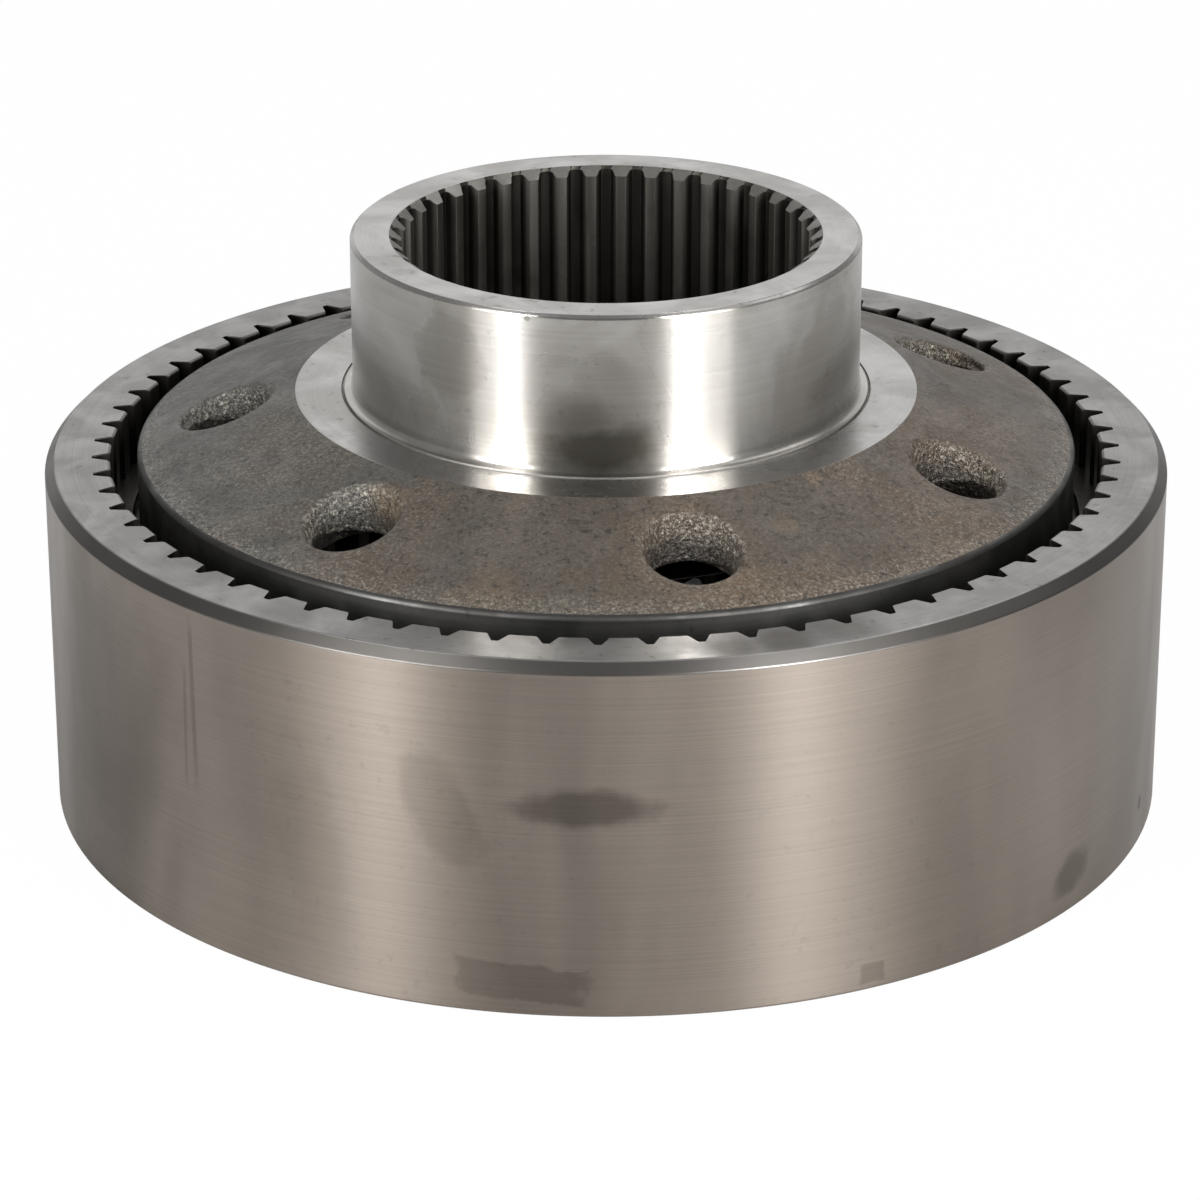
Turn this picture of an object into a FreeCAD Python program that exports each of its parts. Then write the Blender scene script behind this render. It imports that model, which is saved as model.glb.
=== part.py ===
import FreeCAD, Part

import os
import re
from collections import namedtuple

import Sketcher

# Driving dimensions in millimetres and degrees, with what each one means.
# Heights are measured upwards from the lower face of the ring.
SIZES = [
    ("tooth_count", 68, "teeth of the ring and of the rim that sits in it"),
    ("pitch_diameter", 204.0, "reference circle of the ring's teeth"),
    ("pressure_angle", 20.0, "flank angle at the reference circle"),
    ("tooth_shift", 0.25, "profile shift in modules"),
    ("gear_addendum", 2.25, "reference circle in to the tooth tips that the planets run on"),
    ("seat_addendum", -0.8, "the same above the ledge, where the tips are turned back for the rim"),
    ("tooth_dedendum", 4.8, "reference circle out to the tooth roots"),
    ("tooth_end_chamfer", 0.5, "bevel of the tooth ends at the upper face"),
    ("tooth_phase", 0.8, "turn of the toothing about the axis"),
    ("tip_allowance", 0.2, "stock of the turned blanks at the tooth tips, which are cut flat"),
    ("ring_wall", 9.7, "tooth roots out to the outside of the ring"),
    ("ring_height", 74.0, "ring from face to face"),
    ("ring_top_chamfer", 2.1, "outer corner of the upper face"),
    ("groove_depth", 1.8, "retaining groove beyond the tooth roots"),
    ("retainer_thickness", 3.0, "retaining ring, measured endways"),
    ("retainer_end_play", 0.1, "retaining ring in its groove, endways"),
    ("retainer_edge_play", 0.2, "retaining ring in its groove, outwards"),
    ("retainer_gap", 9.0, "opening of the split ring"),
    ("skirt_play", 1.2, "retaining ring to the skirt"),
    ("rim_foot", 39.0, "height of the ledge that the toothed rim sits on"),
    ("rim_height", 18.8, "toothed rim from face to face"),
    ("rim_side_play", 0.2, "rim tooth to each flank of the ring"),
    ("rim_tip_play", 0.4, "rim tooth to the ring's roots and tips"),
    ("skirt_step", 5.0, "rim's tooth roots in to the outside of the skirt"),
    ("skirt_wall", 8.0, "wall of the skirt"),
    ("skirt_rise", 18.0, "rim's upper face to the flange edge"),
    ("flange_edge_break", 1.0, "broken corner of the flange edge"),
    ("crown_rise", 11.3, "flange edge up to the shoulder disc"),
    ("web_thickness", 10.8, "conical web, measured upright"),
    ("casting_corner", 2.0, "inside corners of the casting"),
    ("spline_count", 42, "teeth of the splined bore"),
    ("spline_pitch_diameter", 84.0, "reference circle of the spline and its tooth tips"),
    ("spline_pressure_angle", 30.0, "flank angle of the spline"),
    ("spline_shift", 0.45, "profile shift of the spline in modules"),
    ("spline_depth", 2.0, "spline tooth height"),
    ("spline_mouth_rise", 2.6, "tooth tips out to the edge of the bore's bevel"),
    ("spline_lead", 1.8, "depth of that bevel at the tooth tips"),
    ("boss_wall", 9.0, "spline roots out to the outside of the boss under the web"),
    ("boss_depth", 23.1, "disc down to the boss's lower face"),
    ("neck_diameter", 105.0, "bearing seat"),
    ("neck_length", 33.0, "land up to the end face"),
    ("neck_chamfer", 0.75, "outer corner of the end face"),
    ("neck_corner", 1.4, "corner left full at the neck's foot"),
    ("land_width", 1.75, "raised land round the neck"),
    ("land_step", 0.3, "height of the land above the disc"),
    ("disc_width", 10.15, "machined shoulder disc round the land"),
    ("hole_count", 7, "cored holes in the web"),
    ("hole_margin", 2.4, "hole to the inside of the skirt"),
    ("hole_phase", 25.1, "turn of the hole circle about the axis"),
    ("hole_bore_diameter", 16.0, "hole below its lip"),
    ("hole_lip_height", 5.4, "web's lower face up to the foot of the flared mouth"),
    ("hole_flare", 0.3, "widening of the mouth per millimetre of height"),
]

# Sizes that follow from the driving ones, as formulas over them.
DERIVED = {
    "pitch_radius": "pitch_diameter / 2",
    "gear_tip_radius": "pitch_radius - gear_addendum",
    "ring_blank_bore": "gear_tip_radius - tip_allowance",
    "seat_tip_radius": "pitch_radius - seat_addendum",
    "root_radius": "pitch_radius + tooth_dedendum",
    "ring_radius": "root_radius + ring_wall",
    "groove_radius": "root_radius + groove_depth",
    "groove_width": "retainer_thickness + retainer_end_play",
    "rim_top": "rim_foot + rim_height",
    "rim_root_radius": "seat_tip_radius - rim_tip_play",
    "rim_tip_radius": "root_radius - rim_tip_play",
    "rim_blank_radius": "rim_tip_radius + tip_allowance",
    "retainer_outer": "groove_radius - retainer_edge_play",
    "retainer_inner": "skirt_radius + skirt_play",
    "skirt_radius": "rim_root_radius - skirt_step",
    "skirt_bore": "skirt_radius - skirt_wall",
    "flange_edge": "rim_top + skirt_rise",
    "bore_radius": "spline_pitch_diameter / 2",
    "mouth_radius": "bore_radius + spline_mouth_rise",
    "hub_blank_bore": "bore_radius - tip_allowance",
    "boss_radius": "bore_radius + spline_depth + boss_wall",
    "neck_radius": "neck_diameter / 2",
    "land_radius": "neck_radius + land_width",
    "disc_radius": "land_radius + disc_width",
    "disc_height": "flange_edge + crown_rise",
    "land_height": "disc_height + land_step",
    "neck_top": "land_height + neck_length",
    "boss_foot": "disc_height - boss_depth",
    "crown_slope": "crown_rise / (skirt_radius - flange_edge_break - disc_radius)",
    "hole_bore_radius": "hole_bore_diameter / 2",
    "hole_circle": "skirt_bore - hole_margin - hole_bore_radius",
    "hole_lip": "disc_height - crown_slope * (hole_circle - disc_radius) - web_thickness + hole_lip_height",
}

# Overcut: how far a cutting outline reaches past the surface that it opens.
OVERCUT = "0.2"

# Least change of volume, in cubic millimetres, that shows that a feature did its work.
SMALLEST_CHANGE = 1e-3

# A set of teeth, named by the sizes that define it.
Toothing = namedtuple("Toothing", "pitch_diameter count pressure_angle shift")
RING_TEETH = Toothing("pitch_diameter", "tooth_count", "pressure_angle", "tooth_shift")
SPLINE_TEETH = Toothing("spline_pitch_diameter", "spline_count", "spline_pressure_angle", "spline_shift")

ALIASES = {alias for alias, _, _ in SIZES}


def formula(text):
    """Formula over the sheet's cells: derived names are written out and cells get the sheet's name."""
    def replace(match):
        word = match.group(0)
        if word in DERIVED:
            return "(" + formula(DERIVED[word]) + ")"
        return "sizes." + word if word in ALIASES else word
    return re.sub(r"[a-z_]+", replace, text)


def make_sheet(doc):
    """Spreadsheet with one driving dimension a row."""
    sheet = doc.addObject("Spreadsheet::Sheet", "sizes")
    for row, (alias, value, meaning) in enumerate(SIZES, start=1):
        sheet.set(f"A{row}", alias)
        sheet.set(f"B{row}", str(value))
        sheet.set(f"C{row}", meaning)
        sheet.setAlias(f"B{row}", alias)
    doc.recompute()


def make_body(doc, label):
    """Empty body whose label names its file."""
    body = doc.addObject("PartDesign::Body", label)
    body.Label = label
    doc.recompute()
    return body


def origin_feature(body, role):
    """Axis or plane of the body's own origin."""
    return next(feature for feature in body.Origin.OriginFeatures if feature.Role == role)


def make_sketch(body, name, role):
    """Sketch on one of the body's origin planes."""
    sketch = body.newObject("Sketcher::SketchObject", name)
    sketch.AttachmentSupport = [(origin_feature(body, role), "")]
    sketch.MapMode = "FlatFace"
    return sketch


def turn_sketch(sketch, axis, angle):
    """Turns the sketch on its plane about one of its own axes."""
    sketch.AttachmentOffset = FreeCAD.Placement(FreeCAD.Vector(), FreeCAD.Rotation(axis, 0))
    sketch.setExpression("AttachmentOffset.Rotation.Axis.x", str(axis.x))
    sketch.setExpression("AttachmentOffset.Rotation.Axis.y", str(axis.y))
    sketch.setExpression("AttachmentOffset.Rotation.Axis.z", str(axis.z))
    sketch.setExpression("AttachmentOffset.Rotation.Angle", formula(angle))


def evaluate(sketch, text):
    """Present value of a formula as a plain number."""
    return float(sketch.evalExpression(formula(text)))


def bind(sketch, kind, place, text):
    """Adds a dimension of the given kind and binds it to a formula."""
    index = sketch.addConstraint(Sketcher.Constraint(kind, *place, evaluate(sketch, text)))
    sketch.setExpression(f"Constraints[{index}]", formula(text))


def bind_point(sketch, line, point, across, upright):
    """Binds an end of a line to its distances from the sketch's origin."""
    for kind, text, axis in (("DistanceX", across, -2), ("DistanceY", upright, -1)):
        if text == "0":
            sketch.addConstraint(Sketcher.Constraint("PointOnObject", line, point, axis))
        else:
            bind(sketch, kind, (-1, 1, line, point), text)


def draw_outline(sketch, corners):
    """Closed outline of straight lines through corners given as pairs of formulas."""
    points = [FreeCAD.Vector(evaluate(sketch, x), evaluate(sketch, y), 0) for x, y in corners]
    ends = points[1:] + points[:1]
    lines = [sketch.addGeometry(Part.LineSegment(*pair), False) for pair in zip(points, ends)]
    for line, following in zip(lines, lines[1:] + lines[:1]):
        sketch.addConstraint(Sketcher.Constraint("Coincident", line, 2, following, 1))
    for line, (across, upright) in zip(lines, corners):
        bind_point(sketch, line, 1, across, upright)


def involute(angle):
    """Involute function of an angle, as a formula in radians."""
    return f"(tan({angle}) - ({angle}) / 1 rad)"


def flank_angle(teeth, radius):
    """Pressure angle of the teeth at a radius."""
    return f"acos({teeth.pitch_diameter} / 2 * cos({teeth.pressure_angle}) / ({radius}))"


def half_space(teeth, radius, side_play):
    """Half of the angle that a tooth space takes up at a radius, less a play at each flank."""
    pitch_angle = f"{teeth.pressure_angle} * 1 deg"
    at_pitch = f"(pi / 2 + 2 * {teeth.shift} * tan({teeth.pressure_angle})) / {teeth.count}"
    opened = f"{involute(pitch_angle)} - {involute(flank_angle(teeth, radius))}"
    return f"({at_pitch} + {opened} - {side_play} / ({radius})) * 1 rad"


def space_angle(teeth, radius):
    """Half angle of a tooth space of the ring or of the bore at a radius."""
    return half_space(teeth, radius, "0")


def rim_gap_angle(teeth, radius):
    """Half angle between two rim teeth, which leaves the rim's play at each flank of the ring's tooth."""
    return f"(180 deg / {teeth.count} - {half_space(teeth, radius, 'rim_side_play')})"


def cut_corners(teeth, half_angle, radii):
    """Corners of one cut between teeth, where its flanks pass each radius."""
    left, right = [], []
    for radius in radii:
        angle = half_angle(teeth, f"({radius})")
        across, upright = f"({radius}) * sin({angle})", f"({radius}) * cos({angle})"
        left.append((f"-1 * {across}", upright))
        right.append((across, upright))
    return left + right[::-1]


def add_feature(body, kind, name, sketch, grows):
    """Feature that uses a sketch, with a check that it changed the solid the way it should."""
    before = body.Shape.Volume if body.Tip else 0.0
    feature = body.newObject(kind, name)
    feature.Profile = sketch
    feature.Refine = False
    return feature, before, grows


def finish_feature(body, step):
    """Recomputes a feature and stops if it didn't add or take away material."""
    feature, before, grows = step
    body.Document.recompute()
    change = body.Shape.Volume - before
    if (change > 0) != grows or abs(change) < SMALLEST_CHANGE:
        raise RuntimeError(f"{body.Label}: {feature.Name} changed nothing")
    return feature


def revolve(body, name, sketch):
    """Full turn of a section about the body's upright axis."""
    step = add_feature(body, "PartDesign::Revolution", name, sketch, True)
    step[0].ReferenceAxis = (origin_feature(body, "Z_Axis"), [""])
    step[0].Angle = 360
    return finish_feature(body, step)


def cut_spaces(body, name, teeth, half_angle, radii, phase):
    """Cuts between teeth, made from below right through the body, one after another round the axis."""
    sketch = make_sketch(body, name + "_outline", "XY_Plane")
    turn_sketch(sketch, FreeCAD.Vector(0, 0, 1), phase)
    draw_outline(sketch, cut_corners(teeth, half_angle, radii))
    step = add_feature(body, "PartDesign::Pocket", name, sketch, False)
    step[0].Type = "ThroughAll"
    step[0].Reversed = True
    repeat_round(body, name + "_round", [finish_feature(body, step)], teeth.count)


def repeat_round(body, name, features, count):
    """Repeats features evenly round the body's upright axis and makes the result the body's tip."""
    before = body.Shape.Volume
    pattern = body.newObject("PartDesign::PolarPattern", name)
    pattern.Originals = features
    pattern.Axis = (origin_feature(body, "Z_Axis"), [""])
    pattern.Angle = 360
    pattern.Refine = False
    pattern.setExpression("Occurrences", formula(count))
    body.Tip = pattern
    body.Document.recompute()
    if abs(body.Shape.Volume - before) < SMALLEST_CHANGE:
        raise RuntimeError(f"{body.Label}: {name} repeats nothing")


def gap_polygon(sketch, teeth, radius):
    """Corners of a polygon with a side at each tooth tip, at a radius, and a corner in each gap."""
    reach = f"({radius}) / cos(180 deg / {teeth.count})"
    corners = []
    for gap in range(round(evaluate(sketch, teeth.count))):
        angle = f"({gap} * 360 deg / {teeth.count})"
        corners.append((f"{reach} * sin({angle})", f"{reach} * cos({angle})"))
    return corners


def cut_tip_flats(body, name, teeth, radius, phase, foot="0", outside=None):
    """Cuts the tooth tips flat, from a height upwards.

    The cut is all that lies inside the polygon of the tips, or between it and a square around it
    where half the width of that square is given. The phase is the place of the first gap.
    """
    sketch = make_sketch(body, name + "_outline", "XY_Plane")
    turn_sketch(sketch, FreeCAD.Vector(0, 0, 1), phase)
    sketch.setExpression("AttachmentOffset.Base.z", formula(foot))
    draw_outline(sketch, gap_polygon(sketch, teeth, radius))
    if outside:
        back = f"-1 * {outside}"
        draw_outline(sketch, [(back, back), (outside, back), (outside, outside), (back, outside)])
    step = add_feature(body, "PartDesign::Pocket", name, sketch, False)
    step[0].Type = "ThroughAll"
    step[0].Reversed = True
    finish_feature(body, step)


def bevel_tooth_ends(body, name, teeth, radius, top, depth, angle, phase):
    """Cuts flat bevels on the upper tooth ends with a polygon that narrows downwards."""
    sketch = make_sketch(body, name + "_outline", "XY_Plane")
    turn_sketch(sketch, FreeCAD.Vector(0, 0, 1), phase)
    sketch.setExpression("AttachmentOffset.Base.z", formula(top))
    draw_outline(sketch, gap_polygon(sketch, teeth, radius))
    step = add_feature(body, "PartDesign::Pocket", name, sketch, False)
    step[0].Type = "Length"
    step[0].setExpression("Length", formula(depth))
    step[0].setExpression("TaperAngle", formula(f"-1 * {angle}"))
    finish_feature(body, step)


def make_ring_gear(doc):
    """Ring with internal teeth from face to face, a ledge under the rim and a groove above it."""
    body = make_body(doc, "ring_gear")
    section = make_sketch(body, "ring_section", "XZ_Plane")
    draw_outline(section, [
        ("ring_blank_bore", "0"),
        ("ring_radius", "0"),
        ("ring_radius", "ring_height - ring_top_chamfer"),
        ("ring_radius - ring_top_chamfer", "ring_height"),
        ("ring_blank_bore", "ring_height"),
        ("ring_blank_bore", "rim_top + groove_width"),
        ("groove_radius", "rim_top + groove_width"),
        ("groove_radius", "rim_top"),
        ("ring_blank_bore", "rim_top"),
    ])
    revolve(body, "ring_blank", section)
    cut_tip_flats(body, "gear_tips", RING_TEETH, "gear_tip_radius", "tooth_phase")
    cut_tip_flats(body, "seat_tips", RING_TEETH, "seat_tip_radius", "tooth_phase", foot="rim_foot")
    bevel_tooth_ends(body, "tooth_ends", RING_TEETH, "seat_tip_radius + tooth_end_chamfer", "ring_height",
                     "tooth_end_chamfer", "45 deg", "tooth_phase")
    flank = [f"gear_tip_radius - {OVERCUT}", "root_radius"]
    cut_spaces(body, "tooth_space", RING_TEETH, space_angle, flank, "tooth_phase")
    return body


def draw_hub_section(sketch):
    """Half section of the hub, from the boss round the toothed rim and the web up to the neck."""
    def web_foot(radius):
        return f"disc_height - crown_slope * ({radius} - disc_radius) - web_thickness"

    boss_corner = "boss_radius + casting_corner"
    skirt_corner = "skirt_bore - casting_corner"
    draw_outline(sketch, [
        ("hub_blank_bore", "boss_foot"),
        ("boss_radius", "boss_foot"),
        ("boss_radius", f"{web_foot(boss_corner)} - casting_corner"),
        (boss_corner, web_foot(boss_corner)),
        (skirt_corner, web_foot(skirt_corner)),
        ("skirt_bore", f"{web_foot(skirt_corner)} - casting_corner"),
        ("skirt_bore", "rim_foot"),
        ("rim_blank_radius", "rim_foot"),
        ("rim_blank_radius", "rim_top"),
        ("skirt_radius", "rim_top"),
        ("skirt_radius", "flange_edge - flange_edge_break"),
        ("skirt_radius - flange_edge_break", "flange_edge"),
        ("disc_radius", "disc_height"),
        ("land_radius", "disc_height"),
        ("land_radius", "land_height"),
        ("neck_radius + neck_corner", "land_height"),
        ("neck_radius", "land_height + neck_corner"),
        ("neck_radius", "neck_top - neck_chamfer"),
        ("neck_radius - neck_chamfer", "neck_top"),
        ("hub_blank_bore", "neck_top"),
    ])


def cut_cored_holes(body):
    """Holes through the web, each a straight bore below and a flared mouth above."""
    sketch = make_sketch(body, "hole_section", "XZ_Plane")
    turn_sketch(sketch, FreeCAD.Vector(0, 1, 0), "hole_phase")
    bore = "hole_circle + hole_bore_radius"
    above = "disc_height + land_step"
    flare = f"{bore} + hole_flare * ({above} - hole_lip)"
    outline = [
        ("hole_circle", "rim_top"),
        (bore, "rim_top"),
        (bore, "hole_lip"),
        (flare, above),
        ("hole_circle", above),
    ]
    draw_outline(sketch, outline)
    step = add_feature(body, "PartDesign::Groove", "cored_hole", sketch, False)
    step[0].ReferenceAxis = (sketch, [f"Edge{len(outline)}"])
    step[0].Angle = 360
    repeat_round(body, "cored_holes", [finish_feature(body, step)], "hole_count")


def make_hub(doc):
    """Hub: one casting with neck, shoulder, conical web, skirt and toothed rim."""
    body = make_body(doc, "ring_gear_hub")
    section = make_sketch(body, "hub_section", "XZ_Plane")
    draw_hub_section(section)
    revolve(body, "hub_blank", section)
    cut_tip_flats(body, "spline_tips", SPLINE_TEETH, "bore_radius", "0")
    bevel_tooth_ends(body, "spline_mouth", SPLINE_TEETH, "mouth_radius", "neck_top", "spline_lead",
                     "atan(spline_mouth_rise / spline_lead)", "0")
    spline_flank = [f"bore_radius - {OVERCUT}", "bore_radius + spline_depth"]
    cut_spaces(body, "spline_space", SPLINE_TEETH, space_angle, spline_flank, "0")
    gap_phase = "tooth_phase + 180 / tooth_count"
    cut_tip_flats(body, "rim_tips", RING_TEETH, "rim_tip_radius", gap_phase, outside="ring_radius")
    rim_flank = ["rim_root_radius", f"rim_tip_radius + {OVERCUT}", f"rim_tip_radius + 3 * {OVERCUT}"]
    cut_spaces(body, "rim_gap", RING_TEETH, rim_gap_angle, rim_flank, gap_phase)
    cut_cored_holes(body)
    return body


def make_retaining_ring(doc):
    """Split flat ring, made at height zero and placed on the rim with its opening at the back."""
    body = make_body(doc, "retaining_ring")
    section = make_sketch(body, "retainer_section", "XZ_Plane")
    draw_outline(section, [
        ("retainer_inner", "0"),
        ("retainer_outer", "0"),
        ("retainer_outer", "retainer_thickness"),
        ("retainer_inner", "retainer_thickness"),
    ])
    ring = revolve(body, "retainer_turned", section)
    ring.Midplane = True
    ring.setExpression("Angle", formula("360 - retainer_gap"))
    body.Placement = FreeCAD.Placement(FreeCAD.Vector(), FreeCAD.Rotation(FreeCAD.Vector(0, 0, 1), -90))
    body.setExpression("Placement.Base.z", formula("rim_top"))
    doc.recompute()
    return body


def check_document(doc, bodies):
    """Stops if any object failed or any sub-part isn't one valid solid."""
    for item in doc.Objects:
        if "Invalid" in item.State or "Error" in item.State:
            raise RuntimeError(f"{item.Name} failed: {item.State}")
    for body in bodies:
        shape = body.Shape
        if shape.isNull() or not shape.isValid() or len(shape.Solids) != 1:
            raise RuntimeError(f"{body.Label} is not one valid solid")


def main():
    """Builds the three pieces and writes one STEP file for each."""
    doc = FreeCAD.newDocument("ring_gear_and_hub")
    make_sheet(doc)
    bodies = [make_ring_gear(doc), make_hub(doc), make_retaining_ring(doc)]
    doc.recompute()
    check_document(doc, bodies)
    os.makedirs("parts", exist_ok=True)
    for body in bodies:
        body.Shape.exportStep(f"parts/{body.Label}.step")


main()
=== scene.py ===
"""Wheel-hub ring gear with its hub and retaining ring, dressed for the camera.

Sizes are in millimetres and degrees, as on a drawing. A mesh is scaled to metres when it is finished.
Azimuths are measured from the front, where the camera stands, towards the right.
"""

import logging
import math
from dataclasses import dataclass, field
from enum import IntEnum
from typing import Callable, Sequence

import bmesh
import bpy
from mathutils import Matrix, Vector

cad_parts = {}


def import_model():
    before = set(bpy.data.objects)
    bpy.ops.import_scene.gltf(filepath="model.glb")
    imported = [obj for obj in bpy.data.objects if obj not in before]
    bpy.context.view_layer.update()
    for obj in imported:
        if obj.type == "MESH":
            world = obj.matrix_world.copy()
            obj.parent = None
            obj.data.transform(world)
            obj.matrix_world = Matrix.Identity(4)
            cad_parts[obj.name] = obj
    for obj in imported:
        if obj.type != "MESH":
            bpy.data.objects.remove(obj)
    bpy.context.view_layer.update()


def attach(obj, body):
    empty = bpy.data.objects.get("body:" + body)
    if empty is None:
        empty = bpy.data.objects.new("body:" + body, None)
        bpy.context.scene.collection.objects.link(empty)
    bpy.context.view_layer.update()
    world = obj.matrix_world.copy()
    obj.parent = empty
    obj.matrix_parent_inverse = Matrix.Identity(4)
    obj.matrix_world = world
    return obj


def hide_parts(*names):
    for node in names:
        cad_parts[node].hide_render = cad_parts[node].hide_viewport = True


MM = 0.001
FULL_TURN = 2 * math.pi
UPRIGHT = Vector((0.0, 0.0, 1.0))
MERGE_DISTANCE = 0.004
CIRCLE_TOLERANCE = 0.02
SHARP_ANGLE = math.radians(32)

Colour = tuple[float, float, float]
Point = tuple[float, float]
Section = list[Point]
Outline = list[Vector]
Socket = bpy.types.NodeSocket

log = logging.getLogger("ring_gear")


def placed(name: str, data: bpy.types.ID) -> bpy.types.Object:
    """Object that carries some data, linked to the scene.

    Args:
        name: Name of the object.
        data: Mesh, lamp or camera.

    Returns:
        The object.
    """
    item = bpy.data.objects.new(name, data)
    bpy.context.scene.collection.objects.link(item)
    return item


def around(radius: float, azimuth: float, height: float) -> Vector:
    """Point at a radius, an azimuth in radians from the front and a height."""
    return Vector((radius * math.sin(azimuth), -radius * math.cos(azimuth), height))


def spread(first: float, last: float, steps: int) -> list[float]:
    """Evenly spaced values from the first to the last, both included."""
    return [first + (last - first) * step / steps for step in range(steps + 1)]


def rounded(start: Point, corner: Point, end: Point, steps: int) -> Section:
    """Round between two lines of a section.

    Args:
        start: Point on the first line where the round begins, as radius and height.
        corner: Point where the two lines would meet.
        end: Point on the second line where the round ends.
        steps: Segments of the round.

    Returns:
        Pairs of radius and height along a conic that is tangent to both lines.
    """
    first, middle, last = Vector(start), Vector(corner), Vector(end)
    points = []
    for share in spread(0.0, 1.0, steps):
        blend = first * (1 - share) ** 2 + middle * 2 * share * (1 - share) + last * share ** 2
        points.append((blend.x, blend.y))
    return points


class RingFace(IntEnum):
    """Finished zones of the ring, in the order of its material slots."""

    WALL = 0
    TOP = 1
    CHAMFER = 2
    TEETH = 3
    UNDERSIDE = 4


class HubFace(IntEnum):
    """Finished zones of the hub, in the order of its material slots."""

    CAST = 0
    SEAT = 1
    TURNED = 2
    SPLINE = 3
    RIM = 4
    DULL = 5
    OILED = 6


@dataclass(frozen=True)
class Toothing:
    """Internal involute toothing."""

    pitch_diameter: float
    count: int
    pressure_angle: float
    shift: float
    phase: float

    @property
    def pitch_angle(self) -> float:
        """Angle from one tooth to the next, in radians."""
        return FULL_TURN / self.count

    def half_space(self, radius: float) -> float:
        """Half of the angle of a tooth space at a radius, in radians.

        Args:
            radius: Where the space is measured.

        Returns:
            The angle from the space's middle to the flank.
        """
        standard = math.radians(self.pressure_angle)
        local = math.acos(self.pitch_diameter / 2 * math.cos(standard) / radius)
        at_pitch = (math.pi / 2 + 2 * self.shift * math.tan(standard)) / self.count
        return at_pitch + (math.tan(standard) - standard) - (math.tan(local) - local)


@dataclass(frozen=True)
class TeethProfile:
    """How a toothing is drawn: its radii, its rounds and its number of points."""

    teeth: Toothing
    root: float
    tip_break: float
    root_round: float
    land_steps: int = 2
    flank_steps: int = 5
    root_steps: int = 3

    @property
    def steps(self) -> int:
        """Segments of one pitch."""
        return 2 * (self.land_steps + self.flank_steps + self.root_steps + 2)

    def flank(self, radius: float) -> float:
        """Angle from the middle of a tooth to its flank at a radius."""
        return self.teeth.pitch_angle / 2 - self.teeth.half_space(radius)

    def half_pitch(self, tip: float) -> list[Point]:
        """Radius and angle of each point from the middle of a tooth to the middle of a space.

        Args:
            tip: Radius of the tooth tips at this level.

        Returns:
            Pairs of radius and angle, the angles rising from zero to half a pitch.
        """
        start = min(tip + self.tip_break, self.root - self.root_round)
        land = self.flank(tip) - self.tip_break / tip
        points = [(tip, land * step / self.land_steps) for step in range(self.land_steps + 1)]
        foot = self.root - self.root_round
        points += [(radius, self.flank(radius)) for radius in spread(start, foot, self.flank_steps)]
        for share in spread(0.0, math.pi / 2, self.root_steps)[1:]:
            radius = foot + self.root_round * math.sin(share)
            points.append((radius, self.flank(foot) + self.root_round / self.root * (1 - math.cos(share))))
        points.append((self.root, self.teeth.pitch_angle / 2))
        return points

    def pitch(self, tip: float) -> list[Point]:
        """Radius and angle of each point from one tooth's middle to the next one's."""
        half = self.half_pitch(tip)
        mirrored = [(radius, self.teeth.pitch_angle - angle) for radius, angle in half[-2::-1]]
        return half + mirrored


@dataclass(frozen=True)
class RimProfile:
    """External teeth that fill the ring's tooth spaces with a little play."""

    teeth: Toothing
    root: float
    tip: float
    play: float
    flank_steps: int = 4

    def pitch(self) -> list[Point]:
        """Radius and angle of each point from one tooth's middle to the next one's."""
        half = [(self.tip, 0.0)]
        for radius in spread(self.tip, self.root, self.flank_steps):
            half.append((radius, self.teeth.half_space(radius) - self.play / radius))
        half.append((self.root, self.teeth.pitch_angle / 2))
        return half + [(radius, self.teeth.pitch_angle - angle) for radius, angle in half[-2::-1]]


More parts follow.
